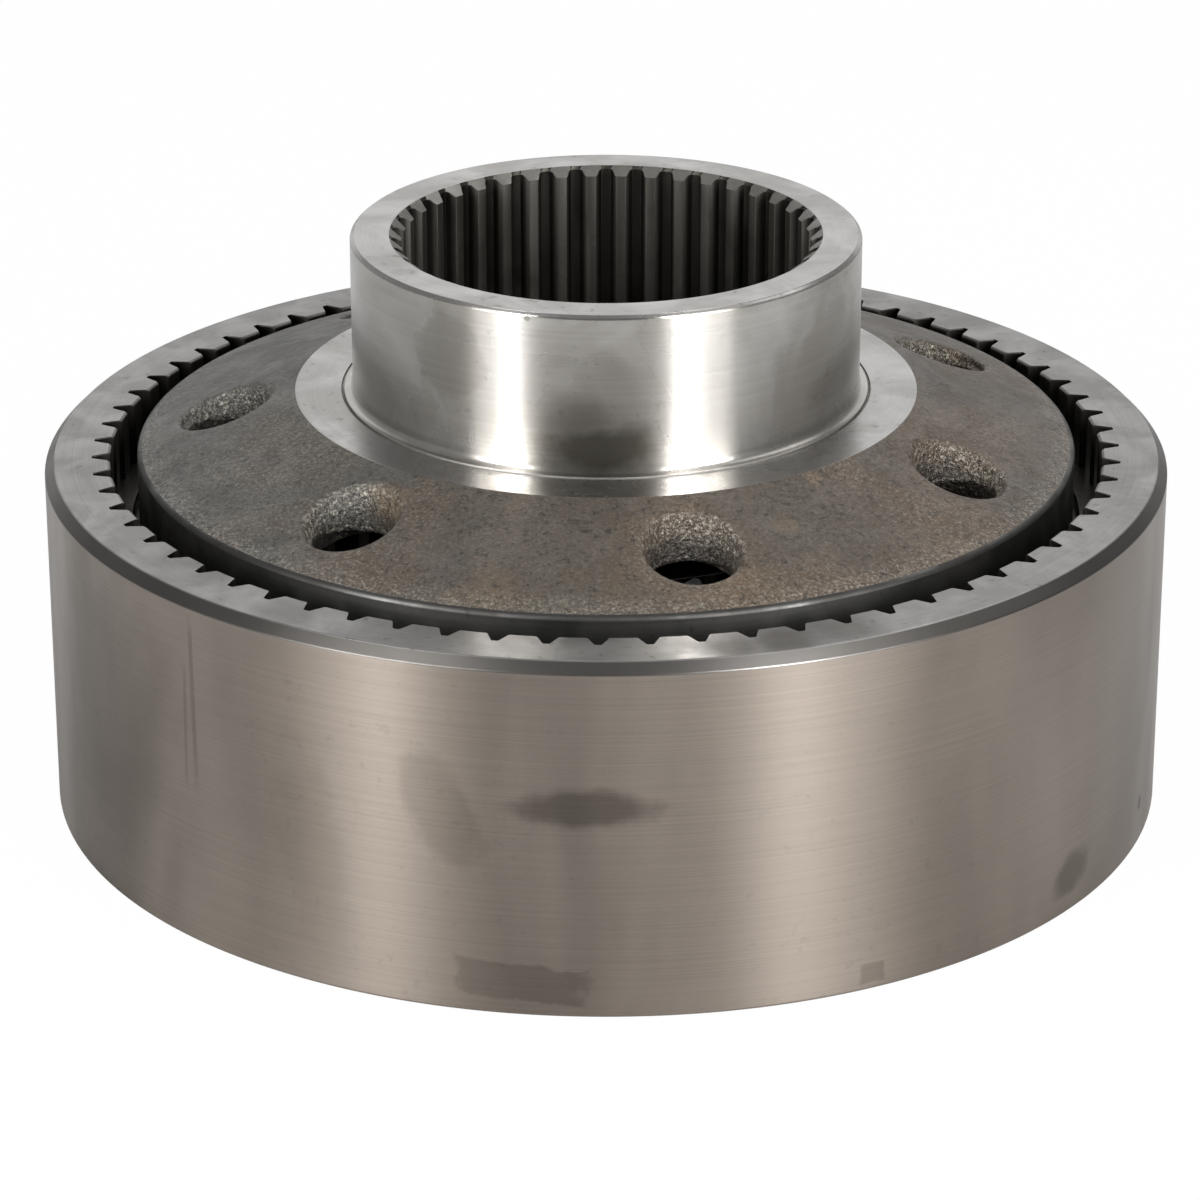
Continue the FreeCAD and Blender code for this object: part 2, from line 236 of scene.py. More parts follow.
class Shell:
    """Surface that grows edge by edge from one chain of points and is then repeated round the axis."""

    def __init__(self) -> None:
        """Starts with an empty mesh."""
        self.mesh = bmesh.new()
        self.front: list[bmesh.types.BMVert] = []
        self.closed = False

    def begin(self, points: Sequence[Vector], closed: bool = False) -> None:
        """Places the first chain of edges.

        Args:
            points: Places along the chain.
            closed: Whether the chain's last point joins its first.
        """
        self.closed = closed
        self.front = [self.mesh.verts.new(point) for point in points]
        ends = self.front[1:] + (self.front[:1] if closed else [])
        for first, second in zip(self.front, ends):
            self.mesh.edges.new((first, second))

    def grow(self, points: Sequence[Vector], zone: int) -> None:
        """Extrudes the last chain of edges to new places.

        Args:
            points: New places, one for each point of the chain.
            zone: Material slot of the new faces.
        """
        pairs = list(zip(self.front, self.front[1:] + (self.front[:1] if self.closed else [])))
        edges = [self.mesh.edges.get(pair) for pair in pairs]
        made = bmesh.ops.extrude_edge_only(self.mesh, edges=edges)["geom"]
        fresh = {item for item in made if isinstance(item, bmesh.types.BMVert)}
        for item in made:
            if isinstance(item, bmesh.types.BMFace):
                item.material_index = zone
        followers = []
        for vertex, place in zip(self.front, points):
            follower = next(edge.other_vert(vertex) for edge in vertex.link_edges
                            if edge.other_vert(vertex) in fresh)
            follower.co = place
            followers.append(follower)
        self.front = followers

    def repeat(self, count: int) -> None:
        """Repeats the sector all round the axis and joins its seams."""
        everything = self.mesh.verts[:] + self.mesh.edges[:] + self.mesh.faces[:]
        bmesh.ops.spin(self.mesh, geom=everything, cent=(0, 0, 0), axis=UPRIGHT, dvec=(0, 0, 0),
                       angle=FULL_TURN, steps=count, use_duplicate=True)
        bmesh.ops.remove_doubles(self.mesh, verts=self.mesh.verts[:], dist=MERGE_DISTANCE)

    def take_in(self, other: "Shell") -> None:
        """Moves the surface of another shell into this one.

        Args:
            other: Shell that is emptied.
        """
        joined = bpy.data.meshes.new("joined")
        other.mesh.to_mesh(joined)
        other.mesh.free()
        self.mesh.from_mesh(joined)
        bpy.data.meshes.remove(joined)

    def bridge(self, inner: float, outer: float, height: float, zone: int) -> None:
        """Closes the flat ring between two open circles at one height.

        Args:
            inner: Radius of the smaller circle.
            outer: Radius of the larger circle.
            height: Height of both.
            zone: Material slot of the new faces.
        """
        def lies_on(vertex: bmesh.types.BMVert) -> bool:
            """Whether a point is on one of the two circles."""
            off = min(abs(vertex.co.xy.length - radius) for radius in (inner, outer))
            return off < CIRCLE_TOLERANCE and abs(vertex.co.z - height) < MERGE_DISTANCE

        rims = [edge for edge in self.mesh.edges if edge.is_boundary and all(map(lies_on, edge.verts))]
        for face in bmesh.ops.bridge_loops(self.mesh, edges=rims)["faces"]:
            face.material_index = zone

    def finish(self, name: str, materials: Sequence[bpy.types.Material]) -> bpy.types.Object:
        """Turns the closed surface into a piece in metres.

        Args:
            name: Name of the piece.
            materials: Materials in the order of the zones.

        Returns:
            The piece, linked to the scene, with its place in its mesh.
        """
        bmesh.ops.remove_doubles(self.mesh, verts=self.mesh.verts[:], dist=MERGE_DISTANCE)
        open_edges = sum(1 for edge in self.mesh.edges if not edge.is_manifold)
        if open_edges:
            log.warning("%s has %d open edges", name, open_edges)
        bmesh.ops.recalc_face_normals(self.mesh, faces=self.mesh.faces[:])
        bmesh.ops.scale(self.mesh, verts=self.mesh.verts[:], vec=(MM, MM, MM))
        mesh = bpy.data.meshes.new(name)
        self.mesh.to_mesh(mesh)
        self.mesh.free()
        mesh.shade_smooth()
        mesh.set_sharp_from_angle(angle=SHARP_ANGLE)
        for material in materials:
            mesh.materials.append(material)
        piece = placed(name, mesh)
        weighting = piece.modifiers.new("face_weighting", "WEIGHTED_NORMAL")
        weighting.keep_sharp = True
        return piece


class Wiring:
    """Node tree with short calls for adding nodes and for sums."""

    def __init__(self, tree: bpy.types.NodeTree) -> None:
        """Takes the tree to work in."""
        self.tree = tree

    def feed(self, socket: Socket, value: object) -> None:
        """Links a socket to another one, or sets its value.

        Args:
            socket: Input to feed.
            value: Output to link, or plain value.
        """
        if isinstance(value, bpy.types.NodeSocket):
            self.tree.links.new(value, socket)
        elif isinstance(value, tuple) and len(value) == 3 and len(socket.default_value) == 4:
            socket.default_value = (*value, 1.0)
        else:
            socket.default_value = value

    def add(self, kind: str, inputs: dict[object, object], **settings: object) -> bpy.types.Node:
        """Adds a node.

        Args:
            kind: Type of the node.
            inputs: Values or sockets for its inputs, by name or number.
            settings: Properties of the node.

        Returns:
            The node.
        """
        node = self.tree.nodes.new(kind)
        for name, value in settings.items():
            setattr(node, name, value)
        for name, value in inputs.items():
            self.feed(node.inputs[name], value)
        return node

    def calc(self, operation: str, *values: object) -> Socket:
        """Result of a sum on plain numbers or sockets."""
        return self.add("ShaderNodeMath", dict(enumerate(values)), operation=operation).outputs[0]

    def times(self, first: object, second: object) -> Socket:
        """Product of two values."""
        return self.calc("MULTIPLY", first, second)

    def largest(self, first: object, *others: object) -> Socket:
        """Largest of some values.

        Args:
            first: First value or socket.
            others: What it is compared with.

        Returns:
            The result's socket.
        """
        for other in others:
            first = self.calc("MAXIMUM", first, other)
        return first

    def step(self, value: object, low: float, high: float, bottom: float = 0.0, top: float = 1.0) -> Socket:
        """Smooth change from bottom to top while the value goes from low to high."""
        inputs = {"Value": value, "From Min": low, "From Max": high, "To Min": bottom, "To Max": top}
        return self.add("ShaderNodeMapRange", inputs, interpolation_type="SMOOTHSTEP").outputs["Result"]

    def split(self, vector: Socket) -> tuple[Socket, Socket, Socket]:
        """The three values of a vector."""
        outputs = self.add("ShaderNodeSeparateXYZ", {0: vector}).outputs
        return outputs[0], outputs[1], outputs[2]

    def join(self, first: object, second: object, third: object = 0.0) -> Socket:
        """Vector of three values."""
        return self.add("ShaderNodeCombineXYZ", {0: first, 1: second, 2: third}).outputs[0]

    def azimuth(self, across: Socket, away: Socket) -> Socket:
        """Azimuth from the front of a direction, in radians."""
        return self.calc("ARCTAN2", across, self.times(away, -1.0))


class Shading(Wiring):
    """Node tree of one material, with short calls for what the finishes share."""

    def __init__(self, name: str) -> None:
        """Makes a material with a Principled shader."""
        self.material = bpy.data.materials.new(name)
        self.material.use_nodes = True
        super().__init__(self.material.node_tree)
        self.shader = self.tree.nodes["Principled BSDF"]

    def place(self) -> Socket:
        """Object coordinates in metres."""
        return self.add("ShaderNodeTexCoord", {}).outputs["Object"]

    def stretch(self, vector: Socket, scale: tuple[float, float, float]) -> Socket:
        """Coordinates scaled along each axis."""
        return self.add("ShaderNodeMapping", {"Vector": vector, "Scale": scale}).outputs["Vector"]

    def distance(self, first: Socket, second: tuple[float, ...] = (0.0, 0.0, 0.0)) -> Socket:
        """Distance between two places, or from the origin."""
        return self.add("ShaderNodeVectorMath", {0: first, 1: second}, operation="DISTANCE").outputs["Value"]

    def noise(self, vector: Socket, scale: float, detail: float = 3.0, roughness: float = 0.55,
              warp: float = 0.0) -> Socket:
        """Noise between zero and one."""
        inputs = {"Vector": vector, "Scale": scale, "Detail": detail, "Roughness": roughness,
                  "Distortion": warp}
        return self.add("ShaderNodeTexNoise", inputs).outputs["Fac"]

    def mix(self, factor: object, first: object, second: object, blend: str = "MIX") -> Socket:
        """Blend of two colours."""
        node = self.add("ShaderNodeMix", {0: factor, 6: first, 7: second}, data_type="RGBA",
                        blend_type=blend)
        return node.outputs[2]

    def cylinder(self) -> tuple[Socket, Socket, Socket]:
        """Azimuth from the front, radius and height of the shaded point."""
        across, away, height = self.split(self.place())
        return self.azimuth(across, away), self.distance(self.join(across, away)), height

    def turning(self, along: float, across: float) -> Socket:
        """Coordinates that change slowly round the axis and quickly along the section.

        Args:
            along: Scale round the axis.
            across: Scale along the section, whichever way it runs.

        Returns:
            Coordinates for a noise of turning marks.
        """
        _, radius, height = self.cylinder()
        right, away, _ = self.split(self.place())
        section = self.times(self.calc("ADD", radius, height), across)
        return self.join(self.times(right, along), self.times(away, along), section)

    def bump(self, height: Socket, depth: object, strength: float, under: Socket | None = None) -> Socket:
        """Normal that follows a height, in metres of depth, on top of another normal.

        Args:
            height: Height between zero and one.
            depth: Depth of the relief in metres.
            strength: Share of the relief that is shown.
            under: Normal of a wider relief.

        Returns:
            The normal's socket.
        """
        inputs = {"Height": height, "Distance": depth, "Strength": strength}
        if under is not None:
            inputs["Normal"] = under
        return self.add("ShaderNodeBump", inputs).outputs["Normal"]

    def grooved(self, anisotropy: float) -> None:
        """Stretches the gloss across turning marks that run round the axis.

        Args:
            anisotropy: How far it is stretched, from zero to one.
        """
        tangent = self.add("ShaderNodeTangent", {}, direction_type="RADIAL", axis="Z").outputs[0]
        self.feed(self.shader.inputs["Tangent"], tangent)
        self.feed(self.shader.inputs["Anisotropic"], anisotropy)
        self.feed(self.shader.inputs["Anisotropic Rotation"], 0.25)

    def result(self, colour: Socket, roughness: Socket, normal: Socket,
               metallic: float = 1.0) -> bpy.types.Material:
        """Connects the shader and returns the material.

        Args:
            colour: Base colour.
            roughness: Roughness.
            normal: Normal with the relief.
            metallic: Share of metal.

        Returns:
            The finished material.
        """
        inputs = {"Base Color": colour, "Roughness": roughness, "Metallic": metallic, "Normal": normal}
        for name, value in inputs.items():
            self.feed(self.shader.inputs[name], value)
        return self.material


@dataclass(frozen=True)
class Mark:
    """Stain, scratch, nick or patch of painted dark reflection on a turned wall."""

    azimuth: float
    height: float
    width: float
    rise: float
    strength: float
    tilt: float = 0.0
    softness: float = 0.35
    square: bool = False

    def mask(self, shading: Shading, wall: Socket, radius: float, ragged: Socket) -> Socket:
        """Strength of the mark over the wall.

        Args:
            shading: Node tree to work in.
            wall: Coordinates along the wall, arc length and height in metres.
            radius: Radius of the wall.
            ragged: Noise that frays the mark's edge.

        Returns:
            A socket from zero to the mark's strength.
        """
        inputs = {"Vector": wall,
                  "Location": (math.radians(self.azimuth) * radius * MM, self.height * MM, 0.0),
                  "Rotation": (0.0, 0.0, math.radians(self.tilt)),
                  "Scale": (self.width / 2 * MM, self.rise / 2 * MM, 1.0)}
        local = shading.add("ShaderNodeMapping", inputs, vector_type="TEXTURE").outputs["Vector"]
        if self.square:
            along, up, _ = shading.split(local)
            distance = shading.largest(shading.calc("ABSOLUTE", along), shading.calc("ABSOLUTE", up))
        else:
            distance = shading.distance(local)
        frayed = shading.calc("ADD", distance, ragged)
        return shading.step(frayed, 1.0 - self.softness, 1.0 + self.softness, self.strength, 0.0)


@dataclass(frozen=True)
class Blot:
    """Round stain at a place round the axis."""

    azimuth: float
    radius: float
    height: float
    reach: float
    strength: float
    fade: Point = (0.35, 1.1)

    def mask(self, shading: Shading, place: Socket, ragged: Socket) -> Socket:
        """Strength of the stain, which fades out to its reach.

        Args:
            shading: Node tree to work in.
            place: Object coordinates.
            ragged: Noise that frays the stain's edge.

        Returns:
            A socket from zero to the stain's strength.
        """
        centre = tuple(around(self.radius, math.radians(self.azimuth), self.height) * MM)
        share = shading.calc("DIVIDE", shading.distance(place, centre), self.reach * MM)
        return shading.step(shading.calc("ADD", share, ragged), *self.fade, self.strength, 0.0)


@dataclass(frozen=True)
class MarkedSteel:
    """Turned or ground steel with fine marks round the axis, clouds, stain marks and patches of painted
    reflection.
    """

    name: str
    light: Colour
    dark: Colour
    # Colour of specks and stain marks, and of the painted dark reflections on the neck.
    stain: Colour
    roughness: float
    anisotropy: float
    line_scale: float
    line_contrast: float
    line_reach: float = 14.0
    line_depth: float = 0.012
    cloud_scale: float = 18.0
    cloud_rise: float = 1.0
    cloud_range: Point = (0.34, 0.7)
    grain_scale: float = 2600.0
    grain_depth: float = 0.006
    grain_tone: float = 0.16
    speck_scale: float = 420.0
    specks: float = 0.15
    fray_scale: float = 160.0
    fray: float = 0.9
    mark_dulling: float = 0.12
    wall_radius: float = 0.0
    marks: tuple[Mark, ...] = ()
    blots: tuple[Blot, ...] = ()

    def line_tone(self, shading: Shading, lines: Socket) -> Socket:
        """Grey by which the turning marks multiply the colour."""
        tone = shading.step(lines, 0.3, 0.7, 1.0 - self.line_contrast, 1.0 + self.line_contrast)
        return shading.add("ShaderNodeCombineColor", {0: tone, 1: tone, 2: tone}).outputs[0]

    def stains_and_painted_reflections(self, shading: Shading, place: Socket) -> Socket:
        """Strength of the marks and blots over the surface, stain marks and painted reflections alike.

        Args:
            shading: Node tree to work in.
            place: Object coordinates.

        Returns:
            A socket from zero to one.
        """
        azimuth, _, height = shading.cylinder()
        wall = shading.join(shading.times(azimuth, self.wall_radius * MM), height)
        centred = shading.calc("SUBTRACT", shading.noise(place, self.fray_scale, detail=4.0), 0.5)
        ragged = shading.times(centred, self.fray)
        masks = [mark.mask(shading, wall, self.wall_radius, ragged) for mark in self.marks]
        masks += [blot.mask(shading, place, ragged) for blot in self.blots]
        return shading.largest(*masks)

    def make(self) -> bpy.types.Material:
        """Makes the finish.

        Returns:
            Its material.
        """
        shading = Shading(self.name)
        place = shading.place()
        upright = shading.stretch(place, (1.0, 1.0, self.cloud_rise))
        clouds = shading.noise(upright, self.cloud_scale, detail=3.0, roughness=0.58, warp=0.5)
        turned = shading.turning(self.line_reach, self.line_scale)
        lines = shading.noise(turned, 1.0, detail=2.0, roughness=0.7)
        grain = shading.noise(place, self.grain_scale, detail=2.0, roughness=0.6)
        spots = shading.noise(place, self.speck_scale, detail=3.0, roughness=0.6)
        specks = shading.times(shading.step(spots, 0.6, 0.72, 0.0, self.specks),
                               shading.step(clouds, 0.62, 0.42))
        colour = shading.mix(shading.step(clouds, *self.cloud_range), self.dark, self.light)
        colour = shading.mix(1.0, colour, self.line_tone(shading, lines), "MULTIPLY")
        colour = shading.mix(shading.step(grain, 0.35, 0.75, 0.0, self.grain_tone), colour, self.dark)
        colour = shading.mix(specks, colour, self.stain)
        roughness = shading.step(clouds, 0.3, 0.7, self.roughness * 1.25, self.roughness * 0.85)
        if self.marks or self.blots:
            # Stain marks, and on the neck the painted dark reflections, darken the colour.
            stain_and_reflection_mask = self.stains_and_painted_reflections(shading, place)
            colour = shading.mix(stain_and_reflection_mask, colour, self.stain)
            roughness = shading.calc("ADD", roughness, shading.times(stain_and_reflection_mask, self.mark_dulling))
        normal = shading.bump(lines, self.line_depth * MM, 0.7)
        normal = shading.bump(grain, self.grain_depth * MM, 0.5, normal)
        shading.grooved(self.anisotropy)
        return shading.result(colour, roughness, normal)


@dataclass(frozen=True)
class OiledSteel:
    """Cut or blackened steel under old oil, with brighter worn spots, darker towards the tooth roots when
    two radii are given.
    """

    name: str
    light: Colour
    dark: Colour
    roughness: float
    darkening_start: float = 0.0
    darkening_end: float = 0.0
    root_colour: Colour = (0.02, 0.018, 0.015)
    film_scale: float = 45.0
    stroke_scale: tuple[float, float, float] = (700.0, 700.0, 18.0)
    stroke_depth: float = 0.01

    def make(self) -> bpy.types.Material:
        """Makes the finish.

        Returns:
            Its material.
        """
        shading = Shading(self.name)
        place = shading.place()
        film = shading.noise(place, self.film_scale, detail=5.0, roughness=0.6, warp=0.8)
        strokes = shading.noise(shading.stretch(place, self.stroke_scale), 1.0)
        colour = shading.mix(shading.step(film, 0.35, 0.68), self.dark, self.light)
        colour = shading.mix(shading.step(strokes, 0.4, 0.75, 0.0, 0.35), colour, self.light)
        # Darker towards the tooth roots, from the first radius to the second.
        if self.darkening_end:
            _, radius, _ = shading.cylinder()
            rootward_darkening = shading.step(radius, self.darkening_start * MM, self.darkening_end * MM, 0.0, 0.85)
            colour = shading.mix(rootward_darkening, colour, self.root_colour)
        roughness = shading.step(film, 0.3, 0.7, self.roughness * 1.3, self.roughness * 0.8)
        return shading.result(colour, roughness, shading.bump(strokes, self.stroke_depth * MM, 0.6))


@dataclass(frozen=True)
class HoleCircle:
    """Where the cored holes stand and how far their coarse skin reaches."""

    count: int
    azimuth: float
    radius: float
    reach: float
    fade_inside: float = 1.6
    fade_outside: float = 1.2

    def mask(self, shading: Shading, azimuth: Socket, radius: Socket) -> Socket:
        """One in the holes and at their mouths, and zero on the web between them.

        Args:
            shading: Node tree to work in.
            azimuth: Azimuth of the shaded point.
            radius: Radius of the shaded point.

        Returns:
            A socket from zero to one.
        """
        half = math.pi / self.count
        from_hole = shading.calc("SUBTRACT", azimuth, math.radians(self.azimuth))
        turned = shading.calc("WRAP", from_hole, half, -half)
        aside = shading.times(radius, shading.calc("SINE", turned))
        along = shading.times(radius, shading.calc("COSINE", turned))
        distance = shading.distance(shading.join(aside, along), (0.0, self.radius * MM, 0.0))
        return shading.step(distance, (self.reach - self.fade_inside) * MM,
                            (self.reach + self.fade_outside) * MM, 1.0, 0.0)


@dataclass(frozen=True)
class CastSkin:
    """Sand-cast iron skin: grains, shallow waves, brown oxide, rust, coarse hole walls, painted shade down
    the holes and a painted lip highlight.
    """

    name: str
    grey: Colour
    brown: Colour
    rust: Colour
    # Colour of pits and dark grains, and of the painted shade down in the holes.
    pit_and_hole_shade: Colour
    # Colour of bright sand grains and of the painted highlight along the holes' lips.
    bright: Colour
    roughness: float
    edge_radius: float
    apex: float
    slope: float
    lip_height: float
    holes: HoleCircle
    blots: tuple[Blot, ...] = ()
    brown_azimuths: Point = (-1.15, -0.1)
    wave_scale: float = 26.0
    wave_depth: float = 0.9
    patch_scale: float = 75.0
    patch_depth: float = 0.4
    grain_scale: float = 620.0
    grain_depth: float = 0.24
    hole_grain_depth: float = 1.4
    fine_scale: float = 1450.0
    fine_depth: float = 0.12
    hole_fine_depth: float = 0.36
    sandy_edge: float = 9.0
    # Depths below the web over which the painted shade in the holes deepens.
    painted_hole_shade_depths: Point = (1.5, 7.0)
    lip_highlight_range: Point = (0.1, 0.6)
    hole_gloss: float = 0.14

    def oxide(self, shading: Shading, azimuth: Socket, waves: Socket, patches: Socket) -> Socket:
        """Colour of the iron, which turns brown towards the right, with pits and rust.

        Args:
            shading: Node tree to work in.
            azimuth: Azimuth of the shaded point.
            waves: Noise of the wide waves.
            patches: Noise of the patches.

        Returns:
            The colour under the grains.
        """
        browned = shading.calc("ADD", shading.step(azimuth, *self.brown_azimuths, 0.0, 0.8),
                               shading.step(waves, 0.36, 0.64, -0.3, 0.3))
        browned = shading.largest(shading.calc("MINIMUM", browned, 1.0), 0.0)
        colour = shading.mix(browned, self.grey, self.brown)
        colour = shading.mix(shading.step(patches, 0.4, 0.62, 0.0, 0.35), colour, self.pit_and_hole_shade)
        rusted = shading.times(shading.step(patches, 0.5, 0.72, 0.0, 0.25), browned)
        ragged = shading.times(shading.calc("SUBTRACT", patches, 0.5), 1.2)
        place = shading.place()
        rusted = shading.largest(rusted, *(blot.mask(shading, place, ragged) for blot in self.blots))
        return shading.mix(rusted, colour, self.rust)

    def painted_hole_shade(self, shading: Shading, radius: Socket, height: Socket, in_hole: Socket) -> Socket:
        """Painted shade: how far the shaded point lies down in a hole, as a share of the darkening.

        Args:
            shading: Node tree to work in.
            radius: Radius of the shaded point.
            height: Height of the shaded point.
            in_hole: Mask of the holes.

        Returns:
            A socket from zero to one.
        """
        web = shading.calc("MULTIPLY_ADD", radius, -self.slope, self.apex * MM)
        depth = shading.calc("SUBTRACT", web, height)
        first, last = self.painted_hole_shade_depths
        return shading.times(shading.step(depth, first * MM, last * MM, 0.0, 0.85), in_hole)

    def sandy(self, shading: Shading, radius: Socket, waves: Socket, in_hole: Socket) -> Socket:
        """Where bright grains show: at the web's edge, in the holes and on the waves.

        Args:
            shading: Node tree to work in.
            radius: Radius of the shaded point.
            waves: Noise of the wide waves.
            in_hole: Mask of the holes.

        Returns:
            A socket from zero to one.
        """
        start, end = (self.edge_radius - self.sandy_edge) * MM, self.edge_radius * MM
        edge = shading.step(radius, start, end, 0.0, 0.6)
        return shading.largest(edge, in_hole, shading.step(waves, 0.42, 0.62, 0.15, 0.35))

    def lip(self, shading: Shading, height: Socket, in_hole: Socket) -> Socket:
        """Painted highlight: a brighter line along the inner lip of each hole.

        Args:
            shading: Node tree to work in.
            height: Height of the shaded point.
            in_hole: Mask of the holes.

        Returns:
            A socket from zero to one.
        """
        first, last = self.lip_highlight_range
        away = shading.calc("ABSOLUTE", shading.calc("SUBTRACT", height, self.lip_height * MM))
        return shading.times(shading.step(away, first * MM, last * MM, 0.6, 0.0), in_hole)

    def make(self) -> bpy.types.Material:
        """Makes the finish.

        Returns:
            Its material.
        """
        shading = Shading(self.name)
        place = shading.place()
        azimuth, radius, height = shading.cylinder()
        waves = shading.noise(place, self.wave_scale, detail=3.0, roughness=0.6, warp=0.5)
        patches = shading.noise(place, self.patch_scale, detail=5.0, roughness=0.7, warp=0.4)
        grains = shading.noise(place, self.grain_scale, detail=3.0, roughness=0.75)
        fine = shading.noise(place, self.fine_scale, detail=3.0, roughness=0.78)
        in_hole = self.holes.mask(shading, azimuth, radius)
        # Painted shade: the holes' walls darken, and their bright grains fade, towards the bottom of each
        # hole.
        painted_hole_shade = self.painted_hole_shade(shading, radius, height, in_hole)
        hole_shade_dimming = shading.calc("MULTIPLY_ADD", painted_hole_shade, -0.9, 1.0)
        sandy = shading.times(self.sandy(shading, radius, waves, in_hole), hole_shade_dimming)
        # Painted highlight: a bright line along each hole's lip joins the sand.
        sandy = shading.largest(sandy, self.lip(shading, height, in_hole))
        colour = self.oxide(shading, azimuth, waves, patches)
        colour = shading.mix(shading.step(grains, 0.5, 0.68, 0.0, 0.75), colour, self.pit_and_hole_shade)
        # Painted shade down in the holes.
        colour = shading.mix(painted_hole_shade, colour, self.pit_and_hole_shade)
        # Bright sand grains and the painted lip highlight over the colour.
        colour = shading.mix(shading.times(shading.step(fine, 0.45, 0.72), sandy), colour, self.bright)
        roughness = shading.step(patches, 0.3, 0.7, self.roughness * 0.85, self.roughness * 1.15)
        roughness = shading.calc("SUBTRACT", roughness, shading.times(in_hole, self.hole_gloss))
        grain_depth = shading.step(in_hole, 0.0, 1.0, self.grain_depth * MM, self.hole_grain_depth * MM)
        fine_depth = shading.step(in_hole, 0.0, 1.0, self.fine_depth * MM, self.hole_fine_depth * MM)
        normal = shading.bump(waves, self.wave_depth * MM, 0.3)
        normal = shading.bump(patches, self.patch_depth * MM, 0.45, normal)
        normal = shading.bump(grains, grain_depth, 0.9, normal)
        normal = shading.bump(fine, fine_depth, 0.8, normal)
        return shading.result(colour, roughness, normal, metallic=0.4)


@dataclass
class RingGear:
    """Steel ring with internal teeth from face to face."""

    teeth: Toothing
    gear_tip: float = 99.75
    seat_tip: float = 102.8
    root: float = 106.8
    groove: float = 108.6
    radius: float = 116.5
    height: float = 74.0
    ledge: float = 39.0
    groove_foot: float = 57.8
    groove_top: float = 60.9
    end_bevel: float = 0.5
    chamfer: float = 2.1
    edge_round: float = 0.2
    foot_round: float = 0.7
    tip_break: float = 0.25
    root_round: float = 0.45

    def stations(self) -> list[tuple[float, float, bool, RingFace]]:
        """Section of the ring as radius, height, whether it is toothed there, and zone up to there.

        Returns:
            The stations from the teeth's lower end, up inside and down outside.
        """
        soft = self.edge_round
        top, wall, foot = self.height, self.radius, self.foot_round
        side, lip = wall - self.chamfer, top - self.chamfer
        bevel_tip = self.seat_tip + self.end_bevel
        path = [
            (self.gear_tip, self.tip_break, True, RingFace.TEETH),
            (self.gear_tip, self.ledge, True, RingFace.TEETH),
            (self.seat_tip, self.ledge, True, RingFace.TEETH),
            (self.seat_tip, self.groove_foot, True, RingFace.TEETH),
            (self.groove, self.groove_foot, False, RingFace.TEETH),
            (self.groove, self.groove_top, False, RingFace.TEETH),
            (self.seat_tip, self.groove_top, True, RingFace.TEETH),
            (self.seat_tip, top - self.end_bevel - soft, True, RingFace.TEETH),
            (self.seat_tip + soft, top - self.end_bevel + soft, True, RingFace.TEETH),
            (bevel_tip - soft, top - soft, True, RingFace.CHAMFER),
            (bevel_tip + soft, top, True, RingFace.CHAMFER),
        ]
        rounds = ((rounded((side - soft, top), (side, top), (side + soft, top - soft), 3), RingFace.TOP),
                  (rounded((wall - soft, lip + soft), (wall, lip), (wall, lip - soft), 3), RingFace.CHAMFER),
                  (rounded((wall, foot), (wall, 0.0), (wall - foot, 0.0), 4), RingFace.WALL))
        for section, zone in rounds:
            path += [(radius, height, False, zone) for radius, height in section]
        path.append((self.gear_tip + self.tip_break, 0.0, True, RingFace.UNDERSIDE))
        return path

    def build(self, materials: Sequence[bpy.types.Material]) -> bpy.types.Object:
        """Makes the ring from one pitch, repeated round the axis.

        Args:
            materials: Materials in the order of the zones.

        Returns:
            The ring.
        """
        profile = TeethProfile(self.teeth, self.root, self.tip_break, self.root_round)
        start = math.radians(self.teeth.phase) + self.teeth.pitch_angle / 2
        angles = [angle for _, angle in profile.pitch(self.gear_tip)]

        def chain(tip: float, height: float, toothed: bool) -> Outline:
            """Points of one pitch, along its teeth or along a circle."""
            if toothed:
                return [around(radius, start + angle, height) for radius, angle in profile.pitch(tip)]
            return [around(tip, start + angle, height) for angle in angles]

        shell = Shell()
        shell.begin(chain(self.gear_tip + self.tip_break, 0.0, True))
        for radius, height, toothed, zone in self.stations():
            shell.grow(chain(radius, height, toothed), zone)
        shell.repeat(self.teeth.count)
        return shell.finish("ring_gear_dressed", materials)


